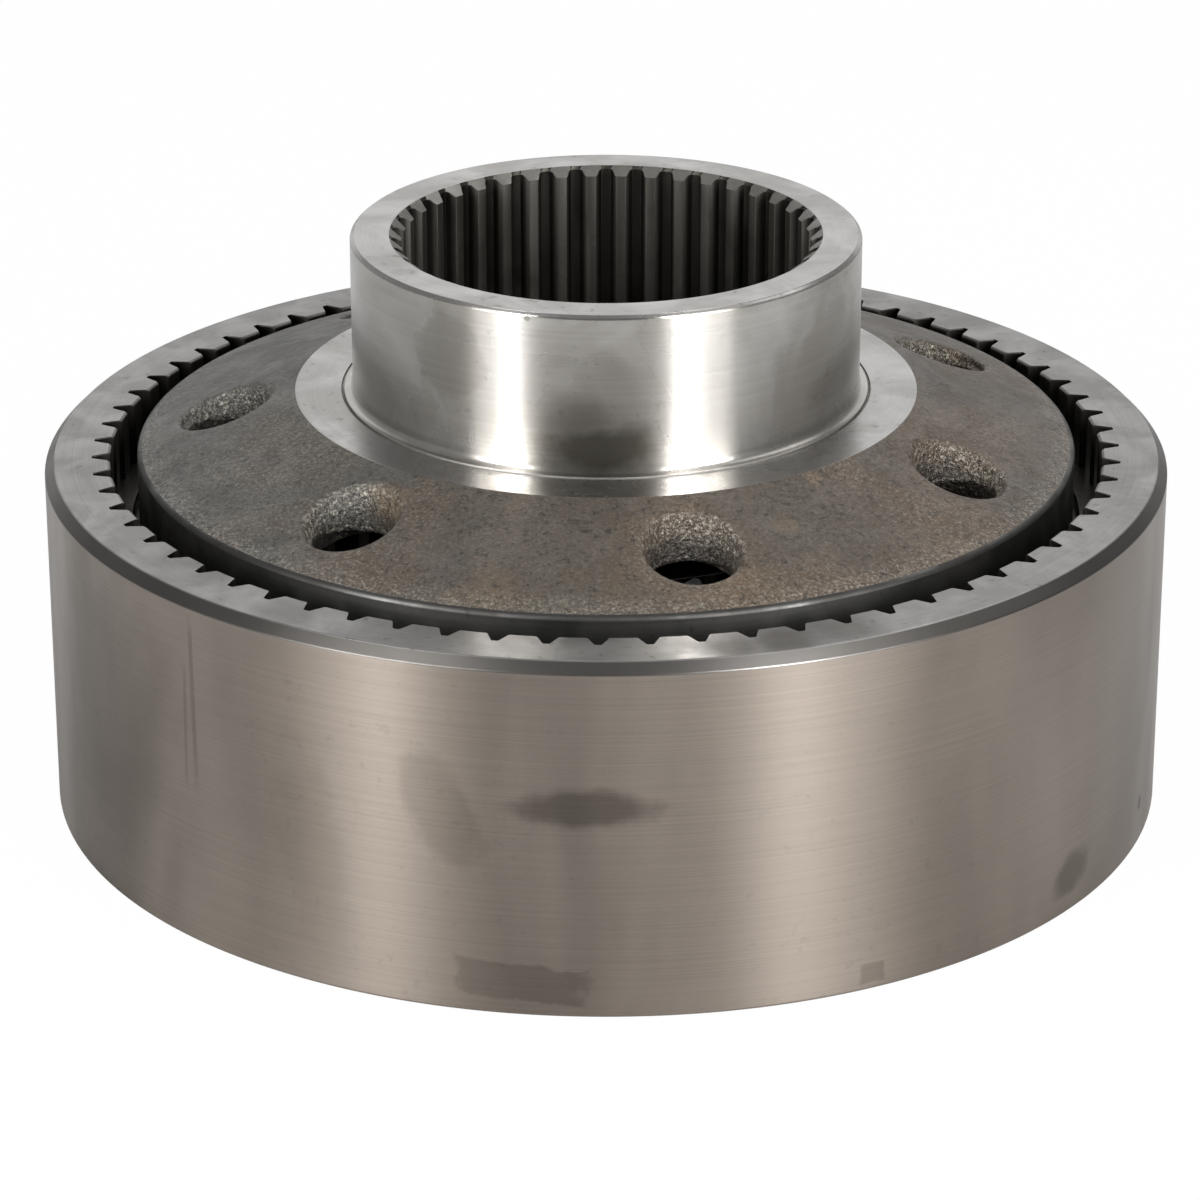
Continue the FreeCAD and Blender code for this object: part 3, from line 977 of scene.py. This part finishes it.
@dataclass
class GearHub:
    """Casting with splined neck, shoulder disc, conical web with cored holes, skirt and toothed rim."""

    rim_teeth: Toothing
    spline: Toothing
    bore: float = 42.0
    bore_margin: float = 0.1
    spline_root: float = 44.0
    spline_lead: float = 1.8
    spline_break: float = 0.5
    mouth: float = 44.6
    mouth_inset: float = 0.15
    mouth_drop: float = 0.1
    steep_normal: float = 0.7
    boss: float = 53.0
    boss_foot: float = 64.0
    boss_break: float = 0.8
    neck: float = 52.5
    neck_top: float = 120.4
    neck_chamfer: float = 0.75
    neck_corner: float = 1.6
    lower_loop: float = 12.0
    upper_loop: float = 8.0
    edge_break: float = 0.25
    land: float = 54.25
    land_height: float = 87.4
    land_break: float = 0.1
    line_outside: float = 0.6
    line_inside: float = 0.42
    line_depth: float = 0.25
    disc: float = 64.4
    disc_height: float = 87.1
    disc_lift: float = 0.01
    crown_slope: float = 0.353125
    web_thickness: float = 10.8
    casting_corner: float = 2.0
    flange: float = 97.4
    flange_height: float = 75.8
    flange_break: float = 1.0
    flange_crest: float = 0.05
    skirt_bore: float = 89.4
    rim_top: float = 57.8
    rim_foot: float = 39.0
    rim_root: float = 102.4
    rim_tip: float = 106.4
    rim_play: float = 0.2
    rim_break: float = 0.3
    rim_seam: float = 0.6
    hole_count: int = 7
    hole_azimuth: float = 115.1
    hole_circle: float = 79.0
    hole_bore: float = 8.0
    hole_lip: float = 76.54
    hole_lip_height: float = 0.8
    hole_flare: float = 0.3
    hole_relief: tuple[Point, ...] = ((1.2, 2.6), (1.8, 0.6), (2.4, 0.0))
    flare_share: float = 0.8
    flare_play: float = 0.1
    mouth_round: float = 1.7
    mouth_narrowing: float = 0.32
    spline_profile: TeethProfile = field(init=False)
    side_steps: int = 8

    def __post_init__(self) -> None:
        """Works out how the spline is drawn."""
        self.spline_profile = TeethProfile(self.spline, self.spline_root, tip_break=0.15, root_round=0.3,
                                           land_steps=1, flank_steps=2, root_steps=2)

    @property
    def teeth_per_sector(self) -> int:
        """Spline teeth between two holes' middle planes."""
        return self.spline.count // self.hole_count

    @property
    def arc_steps(self) -> int:
        """Segments round one sector."""
        return self.teeth_per_sector * self.spline_profile.steps

    @property
    def sector(self) -> float:
        """Angle of a sector in radians."""
        return FULL_TURN / self.hole_count

    def sector_azimuths(self) -> list[float]:
        """Azimuths of the points round a sector whose middle is a hole."""
        middle = math.radians(self.hole_azimuth)
        return spread(middle - self.sector / 2, middle + self.sector / 2, self.arc_steps)

    def arc(self, radius: float, height: float) -> Outline:
        """Points of one sector on a circle."""
        return [around(radius, azimuth, height) for azimuth in self.sector_azimuths()]

    def spline_arc(self, tip: float, height: float) -> Outline:
        """Points of one sector along the spline's outline, with the tips at a radius.

        Args:
            tip: Radius of the tooth tips.
            height: Height of the outline.

        Returns:
            The points.
        """
        pitch = self.spline.pitch_angle
        offset = math.radians(self.spline.phase) + pitch / 2
        nearest = round((self.sector_azimuths()[0] - offset) / pitch)
        first = offset + nearest * pitch
        outline = []
        for tooth in range(self.teeth_per_sector):
            points = self.spline_profile.pitch(tip)
            for radius, angle in points[:-1]:
                outline.append(around(radius, first + tooth * pitch + angle, height))
        radius, _ = self.spline_profile.pitch(tip)[0]
        outline.append(around(radius, first + self.teeth_per_sector * pitch, height))
        return outline

    def crown(self, radius: float) -> float:
        """Height of the web's upper face."""
        return self.disc_height - self.crown_slope * (radius - self.disc)

    def web_foot(self, radius: float) -> float:
        """Height of the web's lower face."""
        return self.crown(radius) - self.web_thickness

    def turn(self, shell: Shell, section: Sequence[Point], zone: HubFace) -> None:
        """Grows the arcs of one zone along a section of radii and heights.

        Args:
            shell: Surface to grow.
            section: Pairs of radius and height.
            zone: Finished zone.
        """
        for radius, height in section:
            shell.grow(self.arc(radius, height), zone)

    def add_neck(self, shell: Shell) -> None:
        """Disc, land, neck, bore and boss, from the web's upper face round to its lower one.

        Args:
            shell: Surface to grow.
        """
        soft, disc, level = self.edge_break, self.disc, self.disc_height
        land, foot = self.land, self.land_height
        bottom = level - self.line_depth
        shell.begin(self.arc(disc + soft, self.crown(disc + soft)))
        self.turn(shell, [(disc, level - self.disc_lift)], HubFace.CAST)
        self.turn(shell, [(disc - soft, level), (land + self.line_outside, level)], HubFace.TURNED)
        self.turn(shell, [(land + self.line_inside, bottom), (land + self.land_break, bottom),
                          (land, foot - self.land_break)], HubFace.OILED)
        self.turn(shell, [(land - self.land_break, foot)], HubFace.SEAT)
        neck, corner = self.neck, self.neck_corner
        top, cut = self.neck_top, self.neck_chamfer
        fillet = rounded((neck + corner, foot), (neck, foot), (neck, foot + corner), 6)
        loops = [(neck, foot + self.lower_loop), (neck, top - cut - self.upper_loop)]
        edge = rounded((neck, top - cut - soft), (neck, top - cut), (neck - soft, top - cut + soft), 2)
        self.turn(shell, fillet + loops + edge, HubFace.SEAT)
        inner = neck - cut
        crest = rounded((inner + soft / 2, top - soft), (inner, top), (inner - soft, top), 2)
        self.turn(shell, crest + [(self.mouth + soft, top)], HubFace.TURNED)
        self.add_spline(shell)
        self.add_boss(shell)

    def add_spline(self, shell: Shell) -> None:
        """Bevelled mouth of the bore and the spline down to the boss's lower face.

        Args:
            shell: Surface to grow.
        """
        slope = self.spline_lead / (self.mouth - self.bore)
        self.turn(shell, [(self.mouth - self.mouth_inset, self.neck_top - self.mouth_drop)], HubFace.TURNED)
        for tip in spread(self.spline_root - self.spline_break, self.bore, 4):
            shell.grow(self.spline_arc(tip, self.neck_top - (self.mouth - tip) * slope), HubFace.OILED)
        shell.grow(self.spline_arc(self.bore, self.boss_foot + self.spline_break), HubFace.SPLINE)
        shell.grow(self.spline_arc(self.bore + self.spline_break, self.boss_foot), HubFace.SPLINE)

    def add_boss(self, shell: Shell) -> None:
        """Boss under the web, up to the web's lower face.

        Args:
            shell: Surface to grow.
        """
        boss, foot, soft = self.boss, self.boss_foot, self.boss_break
        self.turn(shell, rounded((boss - soft, foot), (boss, foot), (boss, foot + soft), 3), HubFace.TURNED)
        web, inner = self.web_foot(boss), boss + self.casting_corner
        self.turn(shell, rounded((boss, web - self.casting_corner), (boss, web),
                                 (inner, self.web_foot(inner)), 4), HubFace.CAST)

    def add_skirt(self, shell: Shell) -> None:
        """Outside of the skirt from the web's edge down to the rim, and its inside.

        Args:
            shell: Surface to grow.
        """
        edge, drop, outer = self.flange, self.flange_break, self.patch_outer
        shell.begin(self.arc(outer, self.crown(outer)))
        nose = rounded((outer, self.crown(outer)), (edge - 0.1 * drop, self.crown(edge) + self.flange_crest),
                       (edge, self.flange_height - 1.1 * drop), 7)
        self.turn(shell, nose[1:] + [(edge, self.rim_top)], HubFace.DULL)
        inner, start = self.skirt_bore, self.skirt_bore - self.casting_corner
        shell.begin(self.arc(start, self.web_foot(start)))
        corner = rounded((start, self.web_foot(start)), (inner, self.web_foot(inner)),
                         (inner, self.web_foot(inner) - self.casting_corner), 4)
        self.turn(shell, corner[1:] + [(inner, self.rim_foot)], HubFace.CAST)

    @property
    def patch_outer(self) -> float:
        """Radius where the flange's rounded edge begins."""
        return self.flange - self.flange_break

    def sector_border(self, inner: float, outer: float, level: Callable[[float], float]) -> Outline:
        """Closed outline of a sector of the web, with its height from a function of the radius.

        Args:
            inner: Smaller radius.
            outer: Larger radius.
            level: Height at a radius.

        Returns:
            The outline.
        """
        azimuths = self.sector_azimuths()
        border = [(inner, azimuth) for azimuth in azimuths]
        border += [(radius, azimuths[-1]) for radius in spread(inner, outer, self.side_steps)[1:-1]]
        border += [(outer, azimuth) for azimuth in azimuths[::-1]]
        border += [(radius, azimuths[0]) for radius in spread(outer, inner, self.side_steps)[1:-1]]
        return [around(radius, azimuth, level(radius)) for radius, azimuth in border]

    def hole_ring(self, border: Outline, radius: float, level: Callable[[float], float]) -> Outline:
        """Circle round the hole's axis with one point in the direction of each border point.

        Args:
            border: Outline round the hole.
            radius: Radius of the circle.
            level: Height at a radius from the main axis.

        Returns:
            The circle's points.
        """
        centre = around(self.hole_circle, math.radians(self.hole_azimuth), 0.0)
        ring = []
        for point in border:
            away = (point - centre).to_2d().normalized() * radius
            place = centre + away.to_3d()
            place.z = level(place.xy.length)
            ring.append(place)
        return ring

    def add_holed_sector(self, shell: Shell) -> None:
        """Sector of the web: its upper face, the hole through it and its lower face.

        Args:
            shell: Surface to grow.
        """
        border = self.sector_border(self.disc + self.edge_break, self.patch_outer, self.crown)
        shell.begin(border, closed=True)
        mouth = self.mouth_radius
        rim = self.hole_ring(border, mouth + self.mouth_round, self.crown)
        for share in (0.35, 0.65, 0.85, 1.0):
            shell.grow(self.between(border, rim, share, self.crown), HubFace.CAST)
        for share in spread(0.0, 1.0, 6)[1:]:
            radius = mouth + self.mouth_round * (1 - share) ** 2 - self.mouth_narrowing * share
            sink = self.mouth_round * share ** 2
            shell.grow(self.hole_ring(border, radius, lambda away, sink=sink: self.crown(away) - sink),
                       HubFace.CAST)
        edge = self.add_hole_wall(shell, border)
        lower = self.sector_border(self.boss + self.casting_corner, self.skirt_bore - self.casting_corner,
                                   self.web_foot)
        for share in (0.3, 0.65, 1.0):
            shell.grow(self.between(edge, lower, share, self.web_foot), HubFace.CAST)

    @property
    def mouth_radius(self) -> float:
        """Radius of the flared mouth at the web's upper face, over the hole's axis."""
        return self.hole_bore + self.hole_flare * (self.crown(self.hole_circle) - self.hole_lip)

    def add_hole_wall(self, shell: Shell, border: Outline) -> Outline:
        """Flare, lip and bore of a hole.

        Args:
            shell: Surface to grow.
            border: Outline of the sector round the hole.

        Returns:
            The hole's edge in the web's lower face.
        """
        for share in (0.4, 0.8):
            widening = (self.mouth_radius - self.hole_bore) * (1 - share) * self.flare_share

            def slanted(away: float, share: float = share) -> float:
                """Height part of the way from the rounded mouth down to the lip."""
                start = self.crown(away) - self.mouth_round
                return start + (self.hole_lip - start) * share

            shell.grow(self.hole_ring(border, self.hole_bore + widening + self.flare_play, slanted),
                       HubFace.CAST)
        for level in (self.hole_lip, self.hole_lip - self.hole_lip_height):
            shell.grow(self.hole_ring(border, self.hole_bore, lambda _, level=level: level), HubFace.CAST)
        for widening, rise in self.hole_relief:
            edge = self.hole_ring(border, self.hole_bore + widening,
                                  lambda away, rise=rise: self.web_foot(away) + rise)
            shell.grow(edge, HubFace.CAST)
        return edge

    def between(self, first: Outline, second: Outline, share: float,
                level: Callable[[float], float]) -> Outline:
        """Points part of the way from one outline to another, set to a height by their radius.

        Args:
            first: Outline at share zero.
            second: Outline at share one.
            share: How far along.
            level: Height at a radius.

        Returns:
            The points.
        """
        mixed = []
        for start, end in zip(first, second):
            place = start.lerp(end, share)
            place.z = level(place.xy.length)
            mixed.append(place)
        return mixed

    def add_rim(self, shell: Shell) -> None:
        """Toothed rim from face to face, made from one pitch of the ring's toothing.

        Args:
            shell: Surface to grow.
        """
        pitch = RimProfile(self.rim_teeth, self.rim_root, self.rim_tip, self.rim_play).pitch()
        start = math.radians(self.rim_teeth.phase)

        def circle(radius: float, height: float) -> Outline:
            """Points of one pitch on a circle."""
            return [around(radius, start + angle, height) for _, angle in pitch]

        top, foot, soft = self.rim_top, self.rim_foot, self.rim_break
        shell.begin(circle(self.flange + self.rim_seam, top))
        for height, inset in ((top, soft), (top - soft, 0.0), (foot + soft, 0.0), (foot, soft)):
            shell.grow([around(radius - inset, start + angle, height) for radius, angle in pitch],
                       HubFace.RIM)
        shell.grow(circle(self.skirt_bore + self.rim_seam, foot), HubFace.RIM)

    def mark_bore(self, shell: Shell) -> None:
        """Gives the steep faces in the bore the spline's finish.

        Args:
            shell: Surface of the hub.
        """
        shell.mesh.normal_update()
        for face in shell.mesh.faces:
            inside = face.calc_center_median().xy.length < self.mouth - self.bore_margin
            if inside and abs(face.normal.z) < self.steep_normal:
                face.material_index = HubFace.SPLINE

    def build(self, materials: Sequence[bpy.types.Material]) -> bpy.types.Object:
        """Makes the hub from one sector with a hole, repeated, and the toothed rim.

        Args:
            materials: Materials in the order of the zones.

        Returns:
            The hub.
        """
        shell = Shell()
        self.add_neck(shell)
        self.add_skirt(shell)
        self.add_holed_sector(shell)
        shell.repeat(self.hole_count)
        rim = Shell()
        self.add_rim(rim)
        rim.repeat(self.rim_teeth.count)
        shell.take_in(rim)
        for radius, height in ((self.flange, self.rim_top), (self.skirt_bore, self.rim_foot)):
            shell.bridge(radius, radius + self.rim_seam, height, HubFace.RIM)
        self.mark_bore(shell)
        return shell.finish("ring_gear_hub_dressed", materials)


@dataclass
class RetainingRing:
    """Split flat ring with softened edges, open at the back."""

    inner: float = 98.6
    outer: float = 108.4
    foot: float = 57.8
    thickness: float = 3.0
    opening: float = 9.0
    edge_round: float = 0.4
    steps: int = 180

    def build(self, material: bpy.types.Material) -> bpy.types.Object:
        """Makes the ring by turning its rounded section round the axis.

        Args:
            material: Its finish.

        Returns:
            The retaining ring.
        """
        shell = Shell()
        first = math.pi + math.radians(self.opening / 2)
        top = self.foot + self.thickness
        corners = [(self.inner, self.foot), (self.outer, self.foot), (self.outer, top), (self.inner, top)]
        section = [shell.mesh.verts.new(around(radius, first, height)) for radius, height in corners]
        shell.mesh.faces.new(section)
        bmesh.ops.bevel(shell.mesh, geom=section, offset=self.edge_round, segments=3, affect="VERTICES",
                        profile=0.5, material=-1)
        bmesh.ops.spin(shell.mesh, geom=shell.mesh.faces[:], cent=(0, 0, 0), axis=UPRIGHT,
                       dvec=(0, 0, 0), angle=math.radians(360 - self.opening), steps=self.steps,
                       use_duplicate=False)
        return shell.finish("retaining_ring_dressed", [material])


@dataclass(frozen=True)
class Softbox:
    """Rectangular lamp that faces the object. Lengths are in metres."""

    name: str
    azimuth: float
    elevation: float
    distance: float
    width: float
    height: float
    power: float

    def build(self, target: Vector) -> None:
        """Places the lamp and turns it to the target.

        Args:
            target: Point that it faces.
        """
        lamp = bpy.data.lights.new(self.name, "AREA")
        lamp.shape = "RECTANGLE"
        lamp.size = self.width
        lamp.size_y = self.height
        lamp.energy = self.power
        azimuth, elevation = math.radians(self.azimuth), math.radians(self.elevation)
        item = placed(self.name, lamp)
        item.location = target + around(self.distance * math.cos(elevation), azimuth,
                                        self.distance * math.sin(elevation))
        item.rotation_euler = (target - item.location).to_track_quat("-Z", "Y").to_euler()


LAMPS = (
    Softbox("left_lamp", -41.5, 24.0, 1.6, 0.2, 1.3, 19.5),
    Softbox("left_glow", -50.0, 24.0, 1.6, 0.5, 1.3, 13.0),
    Softbox("right_lamp", 34.5, 24.0, 1.6, 0.3, 1.3, 22.5),
    Softbox("right_glow", 45.0, 24.0, 1.6, 0.6, 1.3, 17.0),
    Softbox("back_lamp", 178.0, 52.0, 1.8, 1.4, 0.8, 2.0),
    Softbox("side_lamp", 125.0, 52.0, 1.8, 1.0, 0.8, 4.0),
)

SURROUND = (
    (-180.0, 0.95), (-156.0, 0.85), (-140.0, 0.4), (-110.0, 0.25), (-60.0, 0.35),
    (-49.0, 0.45), (-46.0, 0.12), (0.0, 0.13), (42.0, 0.12), (45.0, 0.45),
    (58.0, 0.35), (100.0, 0.22), (140.0, 0.3), (156.0, 0.85), (180.0, 0.95),
)


@dataclass(frozen=True)
class Studio:
    """Camera, lamps, white surroundings and floor. Lengths are in metres."""

    lens: float = 147.39
    camera_distance: float = 1.0383
    camera_elevation: float = 22.75
    look_height: float = 0.0384
    shift: float = -0.00503
    sight: float = 50.0
    lamp_target: float = 0.07
    floor_size: float = 6.0
    floor_albedo: float = 0.52
    floor_roughness: float = 0.9
    floor_white: float = 0.985
    white: Colour = (1.0, 1.0, 1.0)
    surround: tuple[Point, ...] = SURROUND
    top_level: float = 0.3
    top_range: Point = (0.6, 0.95)
    shade_radius: float = 0.114
    shade_fade: float = 0.004
    shade_level: float = 0.02

    def add_camera(self) -> None:
        """Camera at the photograph's viewing angle."""
        data = bpy.data.cameras.new("camera")
        data.lens = self.lens
        data.shift_x = self.shift
        data.clip_end = self.sight
        camera = placed("camera", data)
        elevation = math.radians(self.camera_elevation)
        camera.location = around(self.camera_distance * math.cos(elevation), 0.0,
                                 self.look_height + self.camera_distance * math.sin(elevation))
        camera.rotation_euler = (math.pi / 2 - elevation, 0.0, 0.0)
        bpy.context.scene.camera = camera

    def floor_paper(self) -> bpy.types.Material:
        """White paper that keeps a faint shadow for the camera and is dark inside the ring.

        Returns:
            The floor's material.
        """
        shading = Shading("floor_paper")
        shading.feed(shading.shader.inputs["Base Color"], (self.floor_albedo,) * 3)
        shading.feed(shading.shader.inputs["Roughness"], self.floor_roughness)
        seen = shading.add("ShaderNodeLightPath", {}).outputs["Is Camera Ray"]
        glow = shading.add("ShaderNodeEmission", {"Color": self.white, "Strength": 1.0})
        _, radius, _ = shading.cylinder()
        inside = shading.step(radius, self.shade_radius - self.shade_fade, self.shade_radius,
                              self.shade_level, 1.0)
        factor = shading.times(seen, shading.times(inside, self.floor_white))
        mixed = shading.add("ShaderNodeMixShader", {0: factor, 1: shading.shader.outputs[0],
                                                    2: glow.outputs[0]})
        shading.feed(shading.tree.nodes["Material Output"].inputs["Surface"], mixed.outputs[0])
        return shading.material

    def add_floor(self) -> None:
        """Flat floor under the object, which doesn't belong to it."""
        shell = bmesh.new()
        bmesh.ops.create_grid(shell, x_segments=1, y_segments=1, size=self.floor_size / 2)
        mesh = bpy.data.meshes.new("floor")
        shell.to_mesh(mesh)
        shell.free()
        mesh.materials.append(self.floor_paper())
        floor = placed("floor", mesh)

    def add_world(self) -> None:
        """White surroundings for the camera, a bright back and a dim front for the light."""
        world = bpy.data.worlds.new("studio")
        world.use_nodes = True
        bpy.context.scene.world = world
        world.node_tree.nodes.clear()
        wiring = Wiring(world.node_tree)
        across, away, up = wiring.split(wiring.add("ShaderNodeTexCoord", {}).outputs["Generated"])
        share = wiring.add("ShaderNodeMapRange", {"Value": wiring.azimuth(across, away),
                                                  "From Min": -math.pi, "From Max": math.pi})
        ramp = wiring.add("ShaderNodeValToRGB", {0: share.outputs[0]})
        stops = ramp.color_ramp.elements
        while len(stops) < len(self.surround):
            stops.new(0.5)
        for stop, (azimuth, level) in zip(stops, self.surround):
            stop.position = (azimuth + 180.0) / 360.0
            stop.color = (level, level, level, 1.0)
        level = wiring.add("ShaderNodeMix", {0: wiring.step(up, *self.top_range), 2: ramp.outputs[0],
                                             3: self.top_level}, data_type="FLOAT")
        lit = wiring.add("ShaderNodeBackground", {"Color": self.white, "Strength": level.outputs[0]})
        plain = wiring.add("ShaderNodeBackground", {"Color": self.white, "Strength": 1.0})
        seen = wiring.add("ShaderNodeLightPath", {}).outputs["Is Camera Ray"]
        mixed = wiring.add("ShaderNodeMixShader", {0: seen, 1: lit.outputs[0], 2: plain.outputs[0]})
        wiring.add("ShaderNodeOutputWorld", {"Surface": mixed.outputs[0]})

    def build(self) -> None:
        """Sets up everything round the object."""
        bpy.context.scene.view_settings.view_transform = "Standard"
        self.add_camera()
        self.add_floor()
        self.add_world()
        for lamp in LAMPS:
            lamp.build(Vector((0.0, 0.0, self.lamp_target)))


WALL_MARKS = (
    Mark(-2.2, 44.2, 27.0, 7.2, 0.62),
    Mark(-8.3, 7.0, 24.5, 7.4, 0.4, -4.0, 0.12, True),
    Mark(-16.0, 42.5, 12.5, 24.0, 0.34, 28.0, 0.3),
    Mark(-13.6, 34.5, 10.0, 7.0, 0.2, 20.0, 0.3),
    Mark(53.4, 8.6, 12.5, 8.0, 0.5, 20.0),
    Mark(26.4, 3.7, 5.0, 4.0, 0.45, 0.0, 0.2, True),
    Mark(-43.6, 52.0, 1.1, 30.0, 0.3, 1.0, 0.3, True),
    Mark(-44.8, 47.0, 0.8, 24.0, 0.25, -1.0, 0.3, True),
    Mark(-60.0, 40.0, 40.0, 52.0, 0.26, 0.0, 0.6),
    Mark(-29.0, 28.0, 14.0, 44.0, 0.3, 8.0, 0.6),
    Mark(70.9, 9.0, 2.4, 3.0, 0.6),
)

CAST_BLOTS = (
    Blot(-37.3, 72.0, 81.5, 7.0, 0.6),
    Blot(27.5, 76.0, 82.5, 3.2, 0.2),
    Blot(17.0, 91.0, 78.0, 10.0, 0.2),
    Blot(-14.0, 92.0, 77.5, 9.0, 0.2),
    Blot(38.0, 66.5, 86.0, 2.0, 0.35),
)

FACE_BLOTS = (
    Blot(12.5, 110.5, 74.0, 6.0, 0.5),
    Blot(18.0, 110.0, 74.0, 8.0, 0.55),
    Blot(25.0, 109.0, 74.0, 7.0, 0.45),
    Blot(-34.0, 111.0, 74.0, 9.0, 0.3),
    Blot(-50.0, 108.0, 74.0, 12.0, 0.25),
)

SEAT_MARKS = (
    Mark(-2.0, 92.5, 25.0, 10.0, 0.75, 0.0, 0.5),
    Mark(-6.0, 98.0, 16.0, 9.0, 0.4, 0.0, 0.6),
    Mark(-36.0, 108.0, 17.0, 18.0, 0.17, -20.0, 0.12),
    # Painted dark reflections of the web on the neck's lower left and right.
    Mark(-60.0, 97.0, 24.0, 9.0, 0.3, -12.0, 0.7),
    Mark(64.0, 97.0, 22.0, 10.0, 0.34, 12.0, 0.7),
    Mark(-17.2, 119.2, 1.3, 1.2, 0.7),
)


def dress_ring(teeth: Toothing) -> None:
    """Ring with its wall, upper face, chamfer, teeth and underside finished.

    Args:
        teeth: The ring's toothing.
    """
    stain = (0.07, 0.06, 0.05)
    wall = MarkedSteel("ring_wall_steel", (0.275, 0.238, 0.206), (0.195, 0.168, 0.144), stain,
                       roughness=0.33, anisotropy=0.82, line_scale=5200.0, line_contrast=0.07,
                       cloud_rise=0.35, wall_radius=RingGear.radius, marks=WALL_MARKS)
    top = MarkedSteel("ring_face_steel", (0.34, 0.333, 0.325), (0.25, 0.243, 0.236), stain,
                      roughness=0.34, anisotropy=0.5, line_scale=4200.0, line_contrast=0.08,
                      cloud_scale=70.0, specks=0.5, blots=FACE_BLOTS)
    chamfer = MarkedSteel("ring_chamfer_steel", (0.15, 0.142, 0.134), (0.1, 0.094, 0.088), stain,
                          roughness=0.36, anisotropy=0.5, line_scale=4200.0, line_contrast=0.1)
    gear = OiledSteel("ring_teeth_steel", (0.2, 0.19, 0.17), (0.06, 0.055, 0.047), roughness=0.36,
                      darkening_start=102.0, darkening_end=106.0)
    piece = RingGear(teeth).build([finish.make() for finish in (wall, top, chamfer, gear, top)])
    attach(piece, "root")
    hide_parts("ring_gear")
    log.info("ring gear: %d faces", len(piece.data.polygons))


def dress_hub(teeth: Toothing, spline: Toothing) -> None:
    """Hub with cast skin, ground seat, turned faces, spline and rim.

    Args:
        teeth: Toothing of the ring, which the rim follows.
        spline: Toothing of the bore.
    """
    # Colour of the neck's stains and of its painted dark reflections.
    stain = (0.075, 0.067, 0.045)
    apex = GearHub.disc_height + GearHub.crown_slope * GearHub.disc
    holes = HoleCircle(GearHub.hole_count, GearHub.hole_azimuth, GearHub.hole_circle, reach=10.3)
    cast = CastSkin("hub_cast_skin", grey=(0.068, 0.066, 0.06), brown=(0.078, 0.056, 0.039),
                    rust=(0.2, 0.135, 0.075), pit_and_hole_shade=(0.012, 0.01, 0.008), bright=(0.36, 0.335, 0.285),
                    roughness=0.46, edge_radius=96.6, apex=apex, slope=GearHub.crown_slope,
                    lip_height=GearHub.hole_lip, holes=holes, blots=CAST_BLOTS)
    seat = MarkedSteel("hub_seat_steel", (0.54, 0.53, 0.505), (0.4, 0.38, 0.35), stain,
                       roughness=0.25, anisotropy=0.97, line_scale=1900.0, line_contrast=0.05,
                       cloud_scale=30.0, specks=0.2, wall_radius=GearHub.neck, marks=SEAT_MARKS)
    turned = MarkedSteel("hub_turned_steel", (0.52, 0.51, 0.5), (0.37, 0.355, 0.34), stain,
                         roughness=0.26, anisotropy=0.6, line_scale=5200.0, line_contrast=0.06,
                         cloud_scale=60.0, specks=0.5)
    splined = OiledSteel("hub_spline_steel", (0.3, 0.29, 0.26), (0.11, 0.104, 0.092), roughness=0.36,
                         darkening_start=42.2, darkening_end=43.4)
    rim = OiledSteel("hub_rim_steel", (0.14, 0.13, 0.12), (0.04, 0.036, 0.032), roughness=0.42)
    dull = MarkedSteel("hub_dull_steel", (0.1, 0.099, 0.095), (0.055, 0.053, 0.05),
                       (0.03, 0.027, 0.024), roughness=0.44, anisotropy=0.3, line_scale=3000.0,
                       line_contrast=0.1, cloud_scale=80.0, specks=0.5)
    oiled = OiledSteel("hub_groove_steel", (0.26, 0.25, 0.235), (0.15, 0.143, 0.13), roughness=0.5)
    finishes = (cast, seat, turned, splined, rim, dull, oiled)
    piece = GearHub(teeth, spline).build([finish.make() for finish in finishes])
    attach(piece, "root")
    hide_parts("ring_gear_hub")
    log.info("hub: %d faces", len(piece.data.polygons))


def dress_retaining_ring() -> None:
    """Retaining ring with its blackened finish."""
    dark = OiledSteel("retaining_ring_steel", (0.09, 0.085, 0.08), (0.03, 0.028, 0.026), roughness=0.4)
    piece = RetainingRing().build(dark.make())
    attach(piece, "root")
    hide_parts("retaining_ring")
    log.info("retaining ring: %d faces", len(piece.data.polygons))


def main() -> None:
    """Builds and dresses each piece."""
    logging.basicConfig(level=logging.INFO, format="%(message)s")
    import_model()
    Studio().build()
    ring_teeth = Toothing(pitch_diameter=204.0, count=68, pressure_angle=20.0, shift=0.25, phase=179.2)
    spline_teeth = Toothing(pitch_diameter=84.0, count=42, pressure_angle=30.0, shift=0.45, phase=180.0)
    dress_ring(ring_teeth)
    dress_hub(ring_teeth, spline_teeth)
    dress_retaining_ring()


if __name__ == "__main__":
    main()
